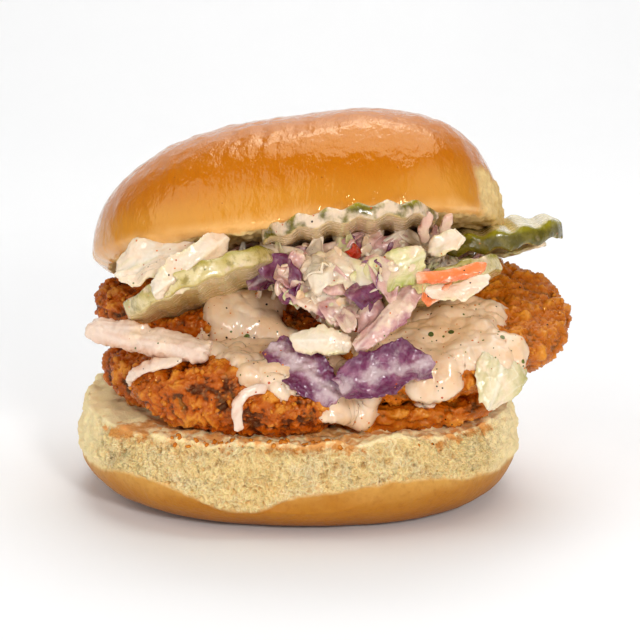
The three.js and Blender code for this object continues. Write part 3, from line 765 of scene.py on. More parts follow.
def bun_bottom_form(bun):
    """A flat foot, a curved belly, and above it the wall and the cut top."""
    mesh, angle, tilt = ball("bun_bottom_form", FRONT_CROWDING)
    foot_end, belly_end, wall_end = -0.85, -0.25, 0.62
    reach = rounded_reach(BUN_BOTTOM_HALF, 2.3, angle)
    footing = BUN_FOOT[0] + (BUN_FOOT[1] - BUN_FOOT[0]) * (1 + np.cos(angle)) / 2
    foot = np.clip((tilt + math.pi / 2) / (foot_end + math.pi / 2), 0, 1)
    belly = np.clip((tilt - foot_end) / (belly_end - foot_end), 0, 1) * math.pi / 2
    wall = np.clip((tilt - belly_end) / (wall_end - belly_end), 0, 1)
    inward = np.clip((tilt - wall_end) / (math.pi / 2 - wall_end), 0, 1)
    share = foot * footing + (1 - footing) * np.sin(belly)
    share = share - 0.035 * wall**2 - 0.965 * inward
    height = BUN_BELLY * (1 - np.cos(belly)) + (bun.bottom_height - BUN_BELLY) * wall
    points = np.stack([reach * share * np.cos(angle), reach * share * np.sin(angle), height], axis=1)
    points[:, 1] = np.maximum(points[:, 1], -TORN_FRONT - 0.4 * MM * noise(points, 5 * MM, 2))
    move_points(mesh, points)
    return mesh


def crust_line(points):
    """Height of the wavy line where the crust ends and the torn crumb begins."""
    line = np.full(len(points), CRUST_LINE)
    for middle, spread, rise in CRUST_WAVES:
        line += rise * MM * np.exp(-(((points[:, 0] / MM - middle) / spread) ** 2))
    torn_side = eased(-14 * MM, 6 * MM, -points[:, 1])
    line = line * torn_side + (1 - torn_side) * CRUST_LINE_BEHIND
    return line + 0.7 * MM * layered(points, 6 * MM, 4, 3)


def bun_bottom_mesh(bun):
    """The bottom bun, with a finer mesh where the torn crumb faces the front."""
    coarse = bun_bottom_form(bun)
    block = bmesh.new()
    block.from_mesh(coarse)
    bpy.data.meshes.remove(coarse)
    back, foot = FINE_CRUMB_FROM
    crumb_edges = [
        edge for edge in block.edges
        if all(v.co.y < -0.33 * abs(v.co.x) - back and v.co.z > foot for v in edge.verts)
    ]
    bmesh.ops.subdivide_edges(block, edges=crumb_edges, cuts=1, use_grid_fill=False)
    bmesh.ops.triangulate(block, faces=block.faces)
    mesh = finished(block, "bun_bottom_crumb")
    points = points_of(mesh)

    on_top = eased(bun.bottom_height - 1.4 * MM, bun.bottom_height - 0.3 * MM, points[:, 2])
    skin = (1 - eased(-0.7 * MM, 0.7 * MM, points[:, 2] - crust_line(points))) * (1 - on_top)
    front = eased(20 * MM, 34 * MM, -points[:, 1]) * (1 - on_top)
    warped = jittered(points, 0.8 * MM, 1.6 * MM, 30)
    strands = 1 - eased(0.02, 0.5, wall_distance(warped * (1, 1, 0.8), 1.5 * MM, 5))
    threads = 1 - eased(0.02, 0.5, wall_distance(warped * (1, 1, 0.7), 0.9 * MM, 9))
    craters = eased(0.42, 0.10, nearest_two(points, 3.1 * MM, 11)[0])
    fluff = layered(points, 4.6 * MM, 6, 4)
    net = 0.5 * strands + 0.5 * threads
    torn_height = bun.tuft * (0.9 * fluff + (0.2 + 0.6 * front) * (net - 0.55) - 0.7 * craters)
    crust_height = 0.22 * MM * layered(points, 8 * MM, 3, 3)
    off_floor = eased(0.2 * MM, 2 * MM, points[:, 2])
    raise_surface(mesh, (torn_height * (1 - skin) + crust_height * skin) * off_floor)
    uneven = eased(12 * MM, bun.bottom_height, points[:, 2])
    uneven *= eased(0.62, 0.95, np.abs(points[:, 1]) / TORN_FRONT)
    lifted = points_of(mesh)
    lifted[:, 2] += RIM_LIFT * layered(points, 10 * MM, 12, 3) * uneven
    move_points(mesh, lifted)
    store(mesh, "rise", np.clip(points[:, 2] / (14 * MM), 0, 1))
    store(mesh, "skin", skin)
    store(mesh, "front", front)
    # Painted shade for the material: darker in pits and away from the threads, lighter on raised tufts.
    shade = (0.6 * front + 0.15) * (1.1 - net) + 0.35 * craters - 0.35 * fluff
    store(mesh, "hollow", np.clip(shade, 0, 1) * (1 - skin))
    edge = eased(-4.4 * MM, -1.2 * MM, points[:, 2] - bun.bottom_height)
    store(mesh, "stain", edge * eased(16 * MM, 30 * MM, -points[:, 1]) * (1 - skin))
    return mesh


class BURGER_OT_bun_top(bpy.types.Operator):
    """Make the top bun, with its glazed crust and torn right side"""

    bl_idname = "burger.bun_top"
    bl_label = "Top bun"

    def execute(self, context):
        bun = context.scene.burger.bun
        add_piece("bun_top_crust", bun_top_mesh(bun), crust_paint(bun), "crust", "bun_top")
        return {"FINISHED"}


class BURGER_OT_bun_bottom(bpy.types.Operator):
    """Make the bottom bun, with its torn crumb and golden crust"""

    bl_idname = "burger.bun_bottom"
    bl_label = "Bottom bun"

    def execute(self, context):
        bun = context.scene.burger.bun
        add_piece("bun_bottom_crumb", bun_bottom_mesh(bun), crumb_paint(bun), "crumb", "bun_bottom")
        return {"FINISHED"}


# Chicken

# The size of the even mesh that each piece is made from, and how golden its coating is.
CHICKEN_NODES = {
    "chicken_front_left": (1.3 * MM, 0.0),
    "chicken_left_low": (1.8 * MM, 0.0),
    "chicken_left_top": (1.5 * MM, 0.0),
    "chicken_right": (1.6 * MM, 1.0),
    "chicken_mid_low": (2.0 * MM, 0.6),
    "chicken_back": (1.9 * MM, 0.5),
}


def coat_chicken(mesh, chicken, seed, golden):
    """Gives a smooth piece its crags, flakes and grains, and keeps their height for the material."""
    points = points_of(mesh)
    warped = jittered(points, 1.6 * MM, 4 * MM, seed)
    lumps = eased(0.0, 0.55, wall_distance(warped, chicken.crag, seed))
    flakes = eased(0.0, 0.5, wall_distance(warped * (1, 1, 1.3), chicken.crag / 2.7, seed + 1))
    rough = layered(points, 6 * MM, seed + 2, 5, 0.6)
    sharp = 1 - np.abs(layered(points, 2.2 * MM, seed + 4, 3, 0.6)) * 1.6
    height = 0.55 * (lumps - 0.6) + 0.22 * (flakes - 0.5) + 0.75 * rough + 0.3 * (sharp - 0.5)
    raise_surface(mesh, chicken.relief * height)
    # This height sets the painted shade in the creases and the painted light on the tips.
    store(mesh, "height", np.clip(0.5 + 0.6 * height, 0, 1))
    store(mesh, "golden", np.full(len(points), golden))


class BURGER_OT_chicken(bpy.types.Operator):
    """Make the pieces of fried chicken, with their craggy coating"""

    bl_idname = "burger.chicken"
    bl_label = "Fried chicken"

    def execute(self, context):
        chicken = context.scene.burger.chicken
        paint = chicken_paint(chicken)
        for number, (node, (voxel, golden)) in enumerate(CHICKEN_NODES.items()):
            mesh = refined(joined_nodes(node), node + "_coated", voxel, 5, 2)
            coat_chicken(mesh, chicken, 20 + 5 * number, golden)
            add_piece(node + "_coated", mesh, paint, "chicken", node)
        return {"FINISHED"}


# Dressing

SKIN_VOXEL = 1.1 * MM
POUR_SHELL = 1.0 * MM
POUR_SINK = 2.0 * MM
POUR_END = -0.04
POUR_FACING = (0, -0.55, 0.83)
CARRIERS = tuple(node for node in CHICKEN_NODES if node != "chicken_back")

# Middle and half size of each patch of dressing, in mm, and of the spot where the chicken shows.
POURS = {
    "dressing_left": (
        ((-6, -22, 46), (17, 17, 14)),
        ((-4, -35, 38), (13, 12, 12)),
        ((12, -42, 31), (7, 10, 12)),
        ((-16, -30, 44), (8, 10, 8)),
    ),
    "dressing_right": (
        ((30, -28, 43), (19, 17, 14)),
        ((30, -42, 37), (7, 10, 9)),
        ((50, -26, 40), (8, 6, 4)),
        ((43, -36, 40), (8, 8, 7)),
    ),
}
BARE_SPOT = ((0.5, -23, 47.5), (9, 12, 8))


def within(points, middle, half):
    """1 in the middle of an egg shape, 0 at its surface and less outside."""
    return 1 - np.linalg.norm((points / MM - middle) / half, axis=1)


def pour_share(points, patches, seed):
    """1 in the middle of a pour, 0 at its wandering, dripping edge and less outside."""
    share = np.max([within(points, *patch) for patch in patches], axis=0)
    share -= 2.4 * np.maximum(within(points, *BARE_SPOT), 0)
    drips = noise(points, np.array((3.2, 5, 12)) * MM, seed)
    return share + 0.3 * layered(points, 6.5 * MM, seed + 1, 3) + 0.08 * drips


def pour_mesh(name, skin, patches, depth, seed):
    """Dressing over part of a smooth skin: thick in the middle, and gone under the crags at its edge."""
    mesh = skin.copy()
    mesh.name = name
    points = points_of(mesh)
    share = pour_share(points, patches, seed)
    facing = normals_of(mesh) @ np.array(POUR_FACING)
    share -= 0.9 * eased(0.15, -0.45, facing)
    swell = eased(-0.02, 0.3, share) * (1 + 0.75 * layered(points, 6 * MM, seed + 5, 3))
    thick = depth * swell - POUR_SINK * eased(0.07, -0.03, share)
    raise_surface(mesh, thick - POUR_SHELL)
    block = bmesh.new()
    block.from_mesh(mesh)
    bpy.data.meshes.remove(mesh)
    block.verts.ensure_lookup_table()
    outside = [block.verts[i] for i in np.flatnonzero(share < POUR_END)]
    bmesh.ops.delete(block, geom=outside, context="VERTS")
    raised = bmesh.ops.extrude_face_region(block, geom=block.faces, use_keep_orig=True)
    block.normal_update()
    for item in raised["geom"]:
        if isinstance(item, bmesh.types.BMVert):
            item.co += item.normal * POUR_SHELL
    bmesh.ops.recalc_face_normals(block, faces=block.faces)
    return finished(block, name)


class BURGER_OT_dressing(bpy.types.Operator):
    """Make the dressing that lies on the chicken"""

    bl_idname = "burger.dressing"
    bl_label = "Dressing"

    def execute(self, context):
        dressing = context.scene.burger.dressing
        paint = dressing_paint(dressing)
        skin = refined(joined_nodes(*CARRIERS), "chicken_skin", SKIN_VOXEL, 9, 1)
        for seed, (node, patches) in enumerate(POURS.items(), 60):
            mesh = pour_mesh(node + "_poured", skin, patches, dressing.depth, seed * 7)
            add_piece(node + "_poured", mesh, paint, "dressing", node)
        bpy.data.meshes.remove(skin)
        return {"FINISHED"}


# Pickles

# Place, turn in degrees, radius, thickness, how dark the wall is and how much dressing covers the slice.
PICKLES = {
    "pickle_top": ((12, -31, 69.2), (-19, -7.5, 0), 20, 3.2, 0.55, 0.55),
    "pickle_left": ((-21.6, -27, 54.6), (-21, -21, 0), 18.5, 4.2, 0.16, 0.2),
    "pickle_right_low": ((30.8, -28, 53.6), (-20, -21, 0), 16.5, 4.2, 0.1, 0.2),
    "pickle_right_back": ((44.5, -2, 61.2), (-6, -7, 0), 18, 4.2, 1.0, 0.0),
    "pickle_back": ((-16, 33, 41.8), (-18, -6, 25), 17, 4.2, 0.8, 0.2),
}
PICKLE_PITCH = 6.5 * MM
PICKLE_VOXEL = 0.66 * MM


def pickle_mesh(node):
    """A pickle slice: where each point lies on it tells the material what is flesh, rim and skin."""
    place, turn, radius, thick, wall_skin, film = PICKLES[node]
    turned = Euler([math.radians(a) for a in turn], "XYZ").to_matrix().to_4x4()
    placing = Matrix.Translation(Vector(place) * MM) @ turned
    block = joined_nodes(node)
    block.transform(placing.inverted())
    mesh = refined(block, node + "_slice", PICKLE_VOXEL, 3, 1)
    points = points_of(mesh)
    out = normals_of(mesh)
    depth = np.clip(points[:, 2] / (thick * MM) + 0.5, 0, 1)
    sideways = eased(0.35, 0.75, np.hypot(out[:, 0], out[:, 1]))
    store(mesh, "reach", np.hypot(points[:, 0], points[:, 1]) / (radius * MM))
    store(mesh, "wall", sideways)
    store(mesh, "corner", sideways * eased(0.62, 0.95, depth + 0.12 * noise(points, 3 * MM, 71)))
    store(mesh, "peel", np.full(len(points), wall_skin))
    store(mesh, "film", np.full(len(points), film))
    grooves = np.cos(points[:, 0] / PICKLE_PITCH * 4 * math.pi) * (1 - sideways)
    raise_surface(mesh, 0.05 * MM * grooves + 0.16 * MM * noise(points, 3 * MM, 70) * sideways + 0.1 * MM)
    mesh.transform(placing)
    return mesh


class BURGER_OT_pickles(bpy.types.Operator):
    """Make the crinkle-cut pickles"""

    bl_idname = "burger.pickles"
    bl_label = "Pickles"

    def execute(self, context):
        burger = context.scene.burger
        paint = pickle_paint(burger.pickle, burger.dressing)
        for node in PICKLES:
            add_piece(node + "_slice", pickle_mesh(node), paint, "pickle", node)
        return {"FINISHED"}


# Cabbage and carrot

WHITE_LEAVES = (
    "cabbage_left_outer",
    "cabbage_left_inner",
    "cabbage_chunk",
    "cabbage_fold",
    "cabbage_mid",
    "cabbage_back",
    "cabbage_back_left",
    "cabbage_right",
    "white_leaf",
)
SHEER_LEAVES = ("cabbage_right_low", "cabbage_tip")
SHREDS = ("cabbage_shred_left", "shred_front")
PINK_LEAVES = ("pink_leaf", "pink_strip")
PURPLE_LEAVES = ("purple_left", "purple_right", "purple_left_high", "purple_back_right")
STEMS = ("stem_a", "stem_b")
LEAF_VOXEL = 0.5 * MM
VEIN_SPACING = 3.6 * MM

WHITE_EDGE = srgb(222, 206, 150)
GREEN_EDGE = srgb(152, 160, 48)
PINK_EDGE = srgb(160, 92, 104)
RIB_SHADES = (srgb(232, 206, 186), srgb(212, 166, 136))
STEM_EDGE = srgb(206, 150, 132)
SHEER_SHADES = (srgb(226, 210, 168), srgb(184, 174, 110))
CARROT_EDGE = srgb(236, 110, 50)


def own_place(points):
    """The place of some points: their middle, their long and wide directions, and outwards across both."""
    middle = points.mean(axis=0)
    _, directions = np.linalg.eigh(np.cov((points - middle).T))
    long, wide = Vector(directions[:, 2]), Vector(directions[:, 1])
    outwards = Vector((middle[0], middle[1], 0)).normalized() + Vector((0, 0, 0.6))
    if long.cross(wide).dot(outwards) < 0:
        wide = -wide
    return Matrix.Translation(middle) @ Matrix((long, wide, long.cross(wide))).transposed().to_4x4()


def leaf_mesh(node, seed, ripple, veins, soften, curl):
    """A CAD leaf made fine: it crumples and curls, its edge is ragged and its veins stand proud."""
    placing = own_place(points_of(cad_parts[node].data))
    block = joined_nodes(node)
    block.transform(placing.inverted())
    mesh = refined(block, node + "_leaf", LEAF_VOXEL, soften, 1)
    points = points_of(mesh)
    half = np.abs(points[:, 1]).max()
    edge = np.clip(np.abs(points[:, 1]) / half, 0, 1)
    flat = points * (1, 1, 0.2)
    wave = noise(flat, 6 * MM, seed) * (0.5 + edge) + 0.5 * layered(flat, 2.8 * MM, seed + 1, 3)
    rag = layered(flat, 2.4 * MM, seed + 2, 3) * eased(0.5, 1.0, edge) * np.sign(points[:, 1])
    branch = (np.abs(points[:, 0]) + 1.3 * np.abs(points[:, 1])) / VEIN_SPACING
    branch = np.abs(((branch + 0.3 * noise(flat, 3 * MM, seed + 4)) % 1) - 0.5) * 2
    vein = np.maximum(eased(0.16, 0.0, edge), 0.6 * eased(0.22, 0.0, branch)) * veins
    streak = noise(flat, np.array((9, 1.2, 2)) * MM, seed + 5)
    end = eased(0.6, 1.0, np.abs(points[:, 0]) / np.abs(points[:, 0]).max()) * np.sign(points[:, 0])
    moved = points.copy()
    moved[:, 0] += 1.6 * MM * layered(flat, 4 * MM, seed + 7, 3) * end
    moved[:, 1] += 0.9 * MM * rag
    moved[:, 2] += ripple * wave + curl * (edge**2 - 0.3) * (0.7 + 0.6 * noise(flat, 9 * MM, seed + 6))
    move_points(mesh, moved)
    grain = 0.06 * MM * noise(points, 1.3 * MM, seed + 3)
    raise_surface(mesh, 0.12 * MM * vein + 0.2 * MM * streak + grain)
    store(mesh, "edge", edge)
    store(mesh, "vein", vein)
    store(mesh, "streak", streak)
    mesh.transform(placing)
    return mesh


def add_leaves(nodes, paint, slot, ripple=0.6 * MM, veins=0.7, soften=2, curl=0.0):
    """One piece for each leaf of a kind."""
    for number, node in enumerate(nodes):
        seed = 100 + 7 * number + len(slot)
        add_piece(node + "_leaf", leaf_mesh(node, seed, ripple, veins, soften, curl), paint, slot, node)


class BURGER_OT_white_cabbage(bpy.types.Operator):
    """Make the white and green cabbage leaves, ribs and stems"""

    bl_idname = "burger.white_cabbage"
    bl_label = "White cabbage"

    def execute(self, context):
        salad = context.scene.burger.salad
        dressing = context.scene.burger.dressing
        white = leaf_paint("White cabbage", salad.white_colour, WHITE_EDGE, dressing, 0.45)
        rib = leaf_paint("Cabbage rib", *RIB_SHADES, dressing, 0.3)
        green = leaf_paint("Green cabbage", salad.green_colour, GREEN_EDGE, dressing, 0.35)
        stem = leaf_paint("Stems", salad.stem_colour, STEM_EDGE, dressing, 0.4)
        sheer = leaf_paint("Sheer cabbage", *SHEER_SHADES, dressing, 0.2)
        add_leaves(WHITE_LEAVES, white, "cabbage", curl=0.6 * MM)
        add_leaves(SHEER_LEAVES, sheer, "cabbage", ripple=0.9 * MM, veins=1.0, curl=1.2 * MM)
        add_leaves(["cabbage_rib"], rib, "cabbage", ripple=0.9 * MM, veins=0.2, soften=40)
        add_leaves(SHREDS, rib, "cabbage", ripple=0.6 * MM, veins=0.2, soften=7)
        add_leaves(["green_leaf"], green, "green_cabbage")
        add_leaves(STEMS, stem, "stem", ripple=0.2 * MM, veins=0.2)
        return {"FINISHED"}


class BURGER_OT_purple_cabbage(bpy.types.Operator):
    """Make the purple and pink cabbage leaves"""

    bl_idname = "burger.purple_cabbage"
    bl_label = "Purple cabbage"

    def execute(self, context):
        salad = context.scene.burger.salad
        dressing = context.scene.burger.dressing
        purple = purple_paint(salad)
        pink = leaf_paint("Pink cabbage", salad.pink_colour, PINK_EDGE, dressing, 0.45)
        add_leaves(
            PURPLE_LEAVES, purple, "purple_cabbage", ripple=1.5 * MM, veins=0.5, soften=3, curl=3.2 * MM
        )
        add_leaves(PINK_LEAVES, pink, "pink_cabbage", ripple=0.9 * MM, curl=1.0 * MM)
        return {"FINISHED"}


class BURGER_OT_carrot(bpy.types.Operator):
    """Make the shred of carrot"""

    bl_idname = "burger.carrot"
    bl_label = "Carrot"

    def execute(self, context):
        burger = context.scene.burger
        paint = leaf_paint("Carrot", burger.salad.carrot_colour, CARROT_EDGE, burger.dressing, 0.15)
        add_leaves(["carrot_shred"], paint, "carrot", ripple=0.15 * MM, veins=0.0)
        return {"FINISHED"}


# Slaw

SEEN_ALONG = (0, 0.974, -0.225)
UNDER_BITS = ("slaw", "white_leaf", "green_leaf", "pink_leaf", "cabbage_mid", "cabbage_fold")
SLAW_VOXEL = 1.1 * MM
BIT_THICKNESS = 0.45 * MM
BIT_COUNT = 30
DROP_COUNT = 18
DROP_SIZES = (0.4 * MM, 1.2 * MM)
CRUMB_SIZES = (0.2 * MM, 0.75 * MM)
CRUMB_RIM = 1.8 * MM
THROW = 0.2
LOOSE_TILT = 0.25
CRUMB_SEED = 11

# Least and greatest length and width of each kind of bit.
SHRED_SIZES = ((7 * MM, 14 * MM), (1.4 * MM, 2.8 * MM))
BIT_SIZES = ((7 * MM, 13 * MM), (4 * MM, 8 * MM))
PEPPER_SIZES = ((4.5 * MM, 4.5 * MM), (3.5 * MM, 3.5 * MM))

# Boxes in mm, as two corners, that things are thrown from.
MIDDLE_OF_SLAW = ((-4, 0, 40), (32, 0, 60))
PEPPER_SPOT = ((12, 0, 55), (12.5, 0, 55.5))

# A box for each fall of crumbs, the way that they fall and how many.
CRUMB_FALLS = (
    ((-42, -47, 0), (44, -36, 0), (0, 0.25, -1), 600),
    ((-46, 0, 20), (56, 0, 50), SEEN_ALONG, 200),
    ((40, -20, 0), (52, 20, 0), (-0.3, 0, -1), 60),
    ((-42, 36, 0), (42, 48, 0), (0, -0.25, -1), 120),
)

# Share and material slot of each kind of loose slaw.
SLAW_MIX = {
    "white": (0.36, "cabbage"),
    "pink": (0.34, "pink_cabbage"),
    "green": (0.15, "green_cabbage"),
    "purple": (0.12, "purple_cabbage"),
    "carrot": (0.03, "carrot"),
}
SLAW_WHITE_EDGE = srgb(226, 212, 160)
SLAW_PINK_EDGE = srgb(150, 84, 98)
SLAW_GREENS = (srgb(222, 212, 156), srgb(170, 172, 74))
PEPPER_SHADES = (srgb(196, 54, 22), srgb(160, 30, 12))


def crumpled_bit(block, place, length, width, rng):
    """Adds one torn strip, bent, rolled and crumpled, at a place given by a matrix."""
    bend = rng.uniform(-0.5, 0.5)
    roll = rng.uniform(-0.7, 0.7)
    phase = rng.uniform(0, 6)
    made = bmesh.ops.create_grid(block, x_segments=8, y_segments=4, size=0.5)
    for vert in made["verts"]:
        along, across = vert.co.x, vert.co.y
        taper = 1 - 0.6 * abs(2 * along) ** 3 + 0.18 * math.sin(9 * along + phase)
        crumple = 0.09 * math.sin(11 * along + 7 * across + phase)
        crumple += 0.07 * math.sin(13 * across - 8 * along)
        rise = bend * length * (0.25 - along**2) + roll * width * (0.25 - across**2) + crumple * width
        sway = 0.12 * width * math.sin(5 * along + phase)
        vert.co = Vector((along * length, across * width * taper + sway, rise))
    faces = list({face for vert in made["verts"] for face in vert.link_faces})
    walled = bmesh.ops.solidify(block, geom=faces, thickness=BIT_THICKNESS)
    verts = set(made["verts"])
    verts.update(item for item in walled["geom"] if isinstance(item, bmesh.types.BMVert))
    bmesh.ops.transform(block, matrix=place, verts=list(verts))


def lying(location, normal, rng, tilt=LOOSE_TILT):
    """A matrix that lays something flat on a surface, turned at random."""
    side = normal.cross(Vector((0.1, 0.2, 1))).normalized()
    lie = Matrix((side, normal.cross(side), normal)).transposed().to_4x4()
    spin = Matrix.Rotation(rng.uniform(0, math.tau), 4, "Z") @ Matrix.Rotation(rng.normal(0, tilt), 4, "Y")
    return Matrix.Translation(location) @ lie @ spin


def landings(context, low, high, towards, count, rng):
    """Where things land that start at random in a box, moved back, and all fly one way."""
    graph = context.evaluated_depsgraph_get()
    cast = context.scene.ray_cast
    towards = Vector(towards).normalized()
    for _ in range(count):
        start = Vector(rng.uniform(low, high)) * MM - towards * THROW
        hit, location, normal, _, thing, _ = cast(graph, start, towards, distance=2 * THROW)
        if hit and thing.name != "floor":
            yield location, normal, thing


def shred_places(mesh, count, rng):
    """Places on a heap's steep sides, for things that lie along its surface."""
    points = points_of(mesh)
    normals = normals_of(mesh)
    steep = np.abs(normals[:, 2]) < 0.75
    for index in rng.choice(np.flatnonzero(steep), count):
        normal = Vector(normals[index])
        yield lying(Vector(points[index]) + normal * 0.4 * MM, normal, rng)


def add_bits(name, places, paint, slot, rng, sizes):
    """One piece of many crumpled bits of the same kind, or none where there are no places for them."""
    if not places:
        return
    block = bmesh.new()
    for place in places:
        length, width = (rng.uniform(*size) for size in sizes)
        crumpled_bit(block, place, length, width, rng)
    bmesh.ops.recalc_face_normals(block, faces=block.faces)
    bmesh.ops.subdivide_edges(block, edges=block.edges, cuts=1, use_grid_fill=True, smooth=0.5)
    mesh = finished(block, name)
    points = points_of(mesh)
    store(mesh, "edge", 0.5 + 0.5 * noise(points, 3 * MM, 5))
    store(mesh, "vein", 0.4 * eased(0.5, 0.9, noise(points, 1.5 * MM, 6)))
    store(mesh, "streak", noise(points, 1.6 * MM, 7))
    add_piece(name, mesh, paint, slot)


def add_drops(places, paint, rng):
    """One piece of many small drops of dressing, lying flat where they fell."""
    block = bmesh.new()
    for place in places:
        size = rng.uniform(*DROP_SIZES)
        made = bmesh.ops.create_icosphere(block, subdivisions=2, radius=size)
        squash = Matrix.Diagonal((rng.uniform(0.9, 2.2), 1, rng.uniform(0.25, 0.45), 1))
        bmesh.ops.transform(block, matrix=place @ squash, verts=made["verts"])
    bmesh.ops.subdivide_edges(block, edges=block.edges, cuts=1, use_grid_fill=True, smooth=1.0)
    mesh = finished(block, "dressing_drops")
    raise_surface(mesh, 0.35 * MM * layered(points_of(mesh), 2 * MM, 8, 3))
    add_piece("dressing_drops", mesh, paint, "dressing")


def slaw_core_mesh():
    """The heap itself, made uneven."""
    core = refined(joined_nodes("slaw"), "slaw_core", SLAW_VOXEL, 3, 1)
    points = points_of(core)
    raise_surface(core, 0.8 * MM * layered(points, 4 * MM, 80, 3))
    store(core, "edge", 0.5 + noise(points, 7 * MM, 82))
    store(core, "vein", np.zeros(len(points)))
    store(core, "streak", noise(points, 2 * MM, 81))
    return core


def slaw_places(context, count, lift, tilt, rng):
    """Places in the middle of the filling, on slaw and on the leaves round it."""
    places = [
        lying(spot + normal * lift, normal, rng, tilt)
        for spot, normal, thing in landings(context, *MIDDLE_OF_SLAW, SEEN_ALONG, count, rng)
        if thing.name.startswith(UNDER_BITS)
    ]
    if not places:
        raise RuntimeError("There is no slaw or cabbage for the loose bits to lie on")
    return places


class BURGER_OT_slaw(bpy.types.Operator):
    """Make the heap of slaw and the loose shreds on it"""

    bl_idname = "burger.slaw"
    bl_label = "Slaw"

    def execute(self, context):
        burger = context.scene.burger
        salad, dressing = burger.salad, burger.dressing
        rng = np.random.default_rng(salad.seed)
        core = slaw_core_mesh()
        white = leaf_paint("Slaw white", salad.white_colour, SLAW_WHITE_EDGE, dressing, 0.55)
        pink = leaf_paint("Slaw pink", salad.pink_colour, SLAW_PINK_EDGE, dressing, 0.4)
        green = leaf_paint("Slaw green", *SLAW_GREENS, dressing, 0.4)
        carrot = leaf_paint("Slaw carrot", salad.carrot_colour, CARROT_EDGE, dressing, 0.3)
        pepper = leaf_paint("Red pepper", *PEPPER_SHADES, dressing, 0.15)
        add_piece("slaw_core", core, pink, "cabbage", "slaw")
        context.view_layer.update()
        purple = purple_paint(salad)
        paints = {"white": white, "pink": pink, "green": green, "purple": purple, "carrot": carrot}
        middle = slaw_places(context, BIT_COUNT, 0.2 * MM, 0.3, rng)
        used = 0
        for kind, (share, slot) in SLAW_MIX.items():
            paint = paints[kind]
            loose = list(shred_places(core, round(salad.shreds * share), rng))
            add_bits("slaw_shreds_" + kind, loose, paint, slot, rng, SHRED_SIZES)
            end = used + round(len(middle) * share)
            add_bits("slaw_bits_" + kind, middle[used:end], paint, slot, rng, BIT_SIZES)
            used = end
        for spot, normal, _ in landings(context, *PEPPER_SPOT, SEEN_ALONG, 1, rng):
            bit = lying(spot + normal * 0.8 * MM, normal, rng)
            add_bits("pepper_bit", [bit], pepper, "carrot", rng, PEPPER_SIZES)
        context.view_layer.update()
        drops = slaw_places(context, DROP_COUNT, 0.0, LOOSE_TILT, rng)
        add_drops(drops, dressing_paint(dressing), rng)
        return {"FINISHED"}


class BURGER_OT_crumbs(bpy.types.Operator):
    """Scatter crumbs of coating over the chicken and the edge of the bottom bun"""

    bl_idname = "burger.crumbs"
    bl_label = "Crumbs"

    def execute(self, context):
        chicken, bun = context.scene.burger.chicken, context.scene.burger.bun
        rng = np.random.default_rng(CRUMB_SEED)
        context.view_layer.update()
        block = bmesh.new()
        for low, high, towards, count in CRUMB_FALLS:
            for spot, normal, thing in landings(context, low, high, towards, count, rng):
                on_bun = thing.name.startswith("bun_bottom") and spot.z > bun.bottom_height - CRUMB_RIM
                if not on_bun and not thing.name.startswith("chicken"):
                    continue
                size = rng.uniform(*CRUMB_SIZES)
                made = bmesh.ops.create_icosphere(block, subdivisions=1, radius=size)
                for vert in made["verts"]:
                    vert.co *= 1 + 0.3 * rng.uniform(-1, 1)
                squash = Matrix.Diagonal((1.2, 0.9, 0.7, 1))
                place = lying(spot + normal * size * 0.3, normal, rng) @ squash
                bmesh.ops.transform(block, matrix=place, verts=made["verts"])
        if not block.verts:
            raise RuntimeError("There is no chicken or bread for the crumbs to lie on")
        mesh = finished(block, "coating_crumbs")
        store(mesh, "height", 0.6 + 0.35 * noise(points_of(mesh), 1.5 * MM, 3))
        store(mesh, "golden", np.ones(len(mesh.vertices)))
        add_piece("coating_crumbs", mesh, chicken_paint(chicken), "chicken")
        return {"FINISHED"}


# Stage

SWEEP_START = 0.5
SWEEP_RADIUS = 0.5
SENSOR_WIDTH = 36
NEAREST_SEEN = 0.01

# Place and target in metres, the setting for the power, the share of it that is used, and the width.
LIGHTS = {
    "Overhead": ((0.10, 0.14, 0.72), (0, 0, 0.05), "top_power", 1, 0.80),
    "Softbox": ((-0.62, -0.40, 0.45), (0, 0, 0.05), "key_power", 1, 0.95),
    "Front": ((0.20, -0.70, 0.30), (0, 0, 0.04), "front_power", 1, 0.12),
    "Window": ((0.75, -0.40, 0.50), (0, 0, 0.05), "window_power", 1, 0.80),
    "Sparkle": ((-0.16, -0.60, 0.10), (0, 0, 0.07), "key_power", 0.14, 0.02),
    "Backdrop": ((0, 0.70, 1.20), (0, 1.60, 0.20), "back_power", 1, 0.9),
}


def sweep_mesh():
    """A floor that curves up into a backdrop behind the burger."""
    block = bmesh.new()
    bmesh.ops.create_grid(block, x_segments=4, y_segments=60, size=2)
    for vert in block.verts:
        past = max(0.0, vert.co.y - SWEEP_START)
        turn = min(past / SWEEP_RADIUS, math.pi / 2)
        vert.co.y = min(vert.co.y, SWEEP_START) + SWEEP_RADIUS * math.sin(turn)
        vert.co.z = SWEEP_RADIUS * (1 - math.cos(turn)) + max(0.0, past - SWEEP_RADIUS * math.pi / 2)
    return finished(block, "floor")


def add_light(name, place, target, power, width):
    """A round, soft light that points at its target."""
    data = bpy.data.lights.new(name, "AREA")
    data.energy = power
    data.shape = "DISK"
    data.size = width
    light = bpy.data.objects.new(name, data)
    light.location = place
    light.rotation_euler = (Vector(target) - Vector(place)).to_track_quat("-Z", "Y").to_euler()
    bpy.context.scene.collection.objects.link(light)


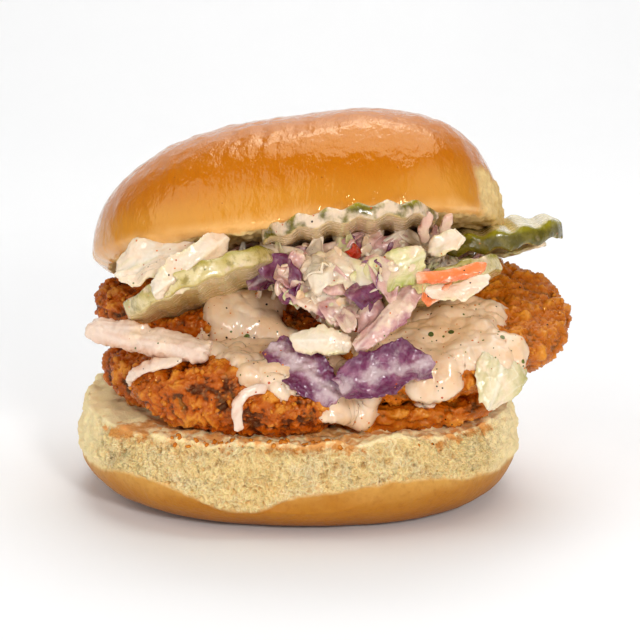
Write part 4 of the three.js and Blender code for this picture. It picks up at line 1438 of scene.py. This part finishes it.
class BURGER_OT_stage(bpy.types.Operator):
    """Set up the camera, the pale floor and the soft lights"""

    bl_idname = "burger.stage"
    bl_label = "Stage"

    def execute(self, context):
        stage = context.scene.burger.stage
        aim = Vector(stage.aim)
        data = bpy.data.cameras.new("Camera")
        data.lens = stage.lens
        data.sensor_width = SENSOR_WIDTH
        data.clip_start = NEAREST_SEEN
        camera = bpy.data.objects.new("Camera", data)
        back = Vector((0, -math.cos(stage.elevation), math.sin(stage.elevation)))
        camera.location = aim + back * stage.distance
        camera.rotation_euler = (-back).to_track_quat("-Z", "Y").to_euler()
        context.scene.collection.objects.link(camera)
        context.scene.camera = camera

        floor = bpy.data.objects.new("floor", sweep_mesh())
        floor.data.materials.append(floor_paint(stage.floor_colour))
        context.scene.collection.objects.link(floor)
        floor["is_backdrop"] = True

        for name, (place, target, setting, share, width) in LIGHTS.items():
            add_light(name, place, target, getattr(stage, setting) * share, width)
        world = bpy.data.worlds.new("Room")
        world.use_nodes = True
        background = world.node_tree.nodes["Background"]
        background.inputs["Color"].default_value = (1, 1, 1, 1)
        background.inputs["Strength"].default_value = stage.sky
        context.scene.world = world
        context.scene.view_settings.view_transform = "Standard"
        return {"FINISHED"}


# The panel, and the order of work

OPERATORS = (
    BURGER_OT_stage,
    BURGER_OT_bun_bottom,
    BURGER_OT_bun_top,
    BURGER_OT_chicken,
    BURGER_OT_dressing,
    BURGER_OT_pickles,
    BURGER_OT_white_cabbage,
    BURGER_OT_purple_cabbage,
    BURGER_OT_carrot,
    BURGER_OT_slaw,
    BURGER_OT_crumbs,
)


class BURGER_PT_panel(bpy.types.Panel):
    """Lists the pieces of the burger"""

    bl_label = "Chicken Burger"
    bl_idname = "BURGER_PT_panel"
    bl_space_type = "VIEW_3D"
    bl_region_type = "UI"
    bl_category = "Burger"

    def draw(self, context):
        for operator in OPERATORS:
            self.layout.operator(operator.bl_idname)


SETTINGS = (
    BunSettings,
    ChickenSettings,
    DressingSettings,
    PickleSettings,
    SaladSettings,
    StageSettings,
    BurgerSettings,
)


def register():
    for cls in SETTINGS + OPERATORS + (BURGER_PT_panel,):
        bpy.utils.register_class(cls)
    bpy.types.Scene.burger = PointerProperty(type=BurgerSettings)


def unregister():
    del bpy.types.Scene.burger
    for cls in reversed(SETTINGS + OPERATORS + (BURGER_PT_panel,)):
        bpy.utils.unregister_class(cls)


def main():
    register()
    for operator in OPERATORS:
        group, action = operator.bl_idname.split(".")
        getattr(getattr(bpy.ops, group), action)()
    visual_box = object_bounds()
    sizes = {"cad": CAD_BOX, "visual": visual_box}
    {key: [list(corner) for corner in box] for key, box in sizes.items()}


if __name__ == "__main__":
    main()
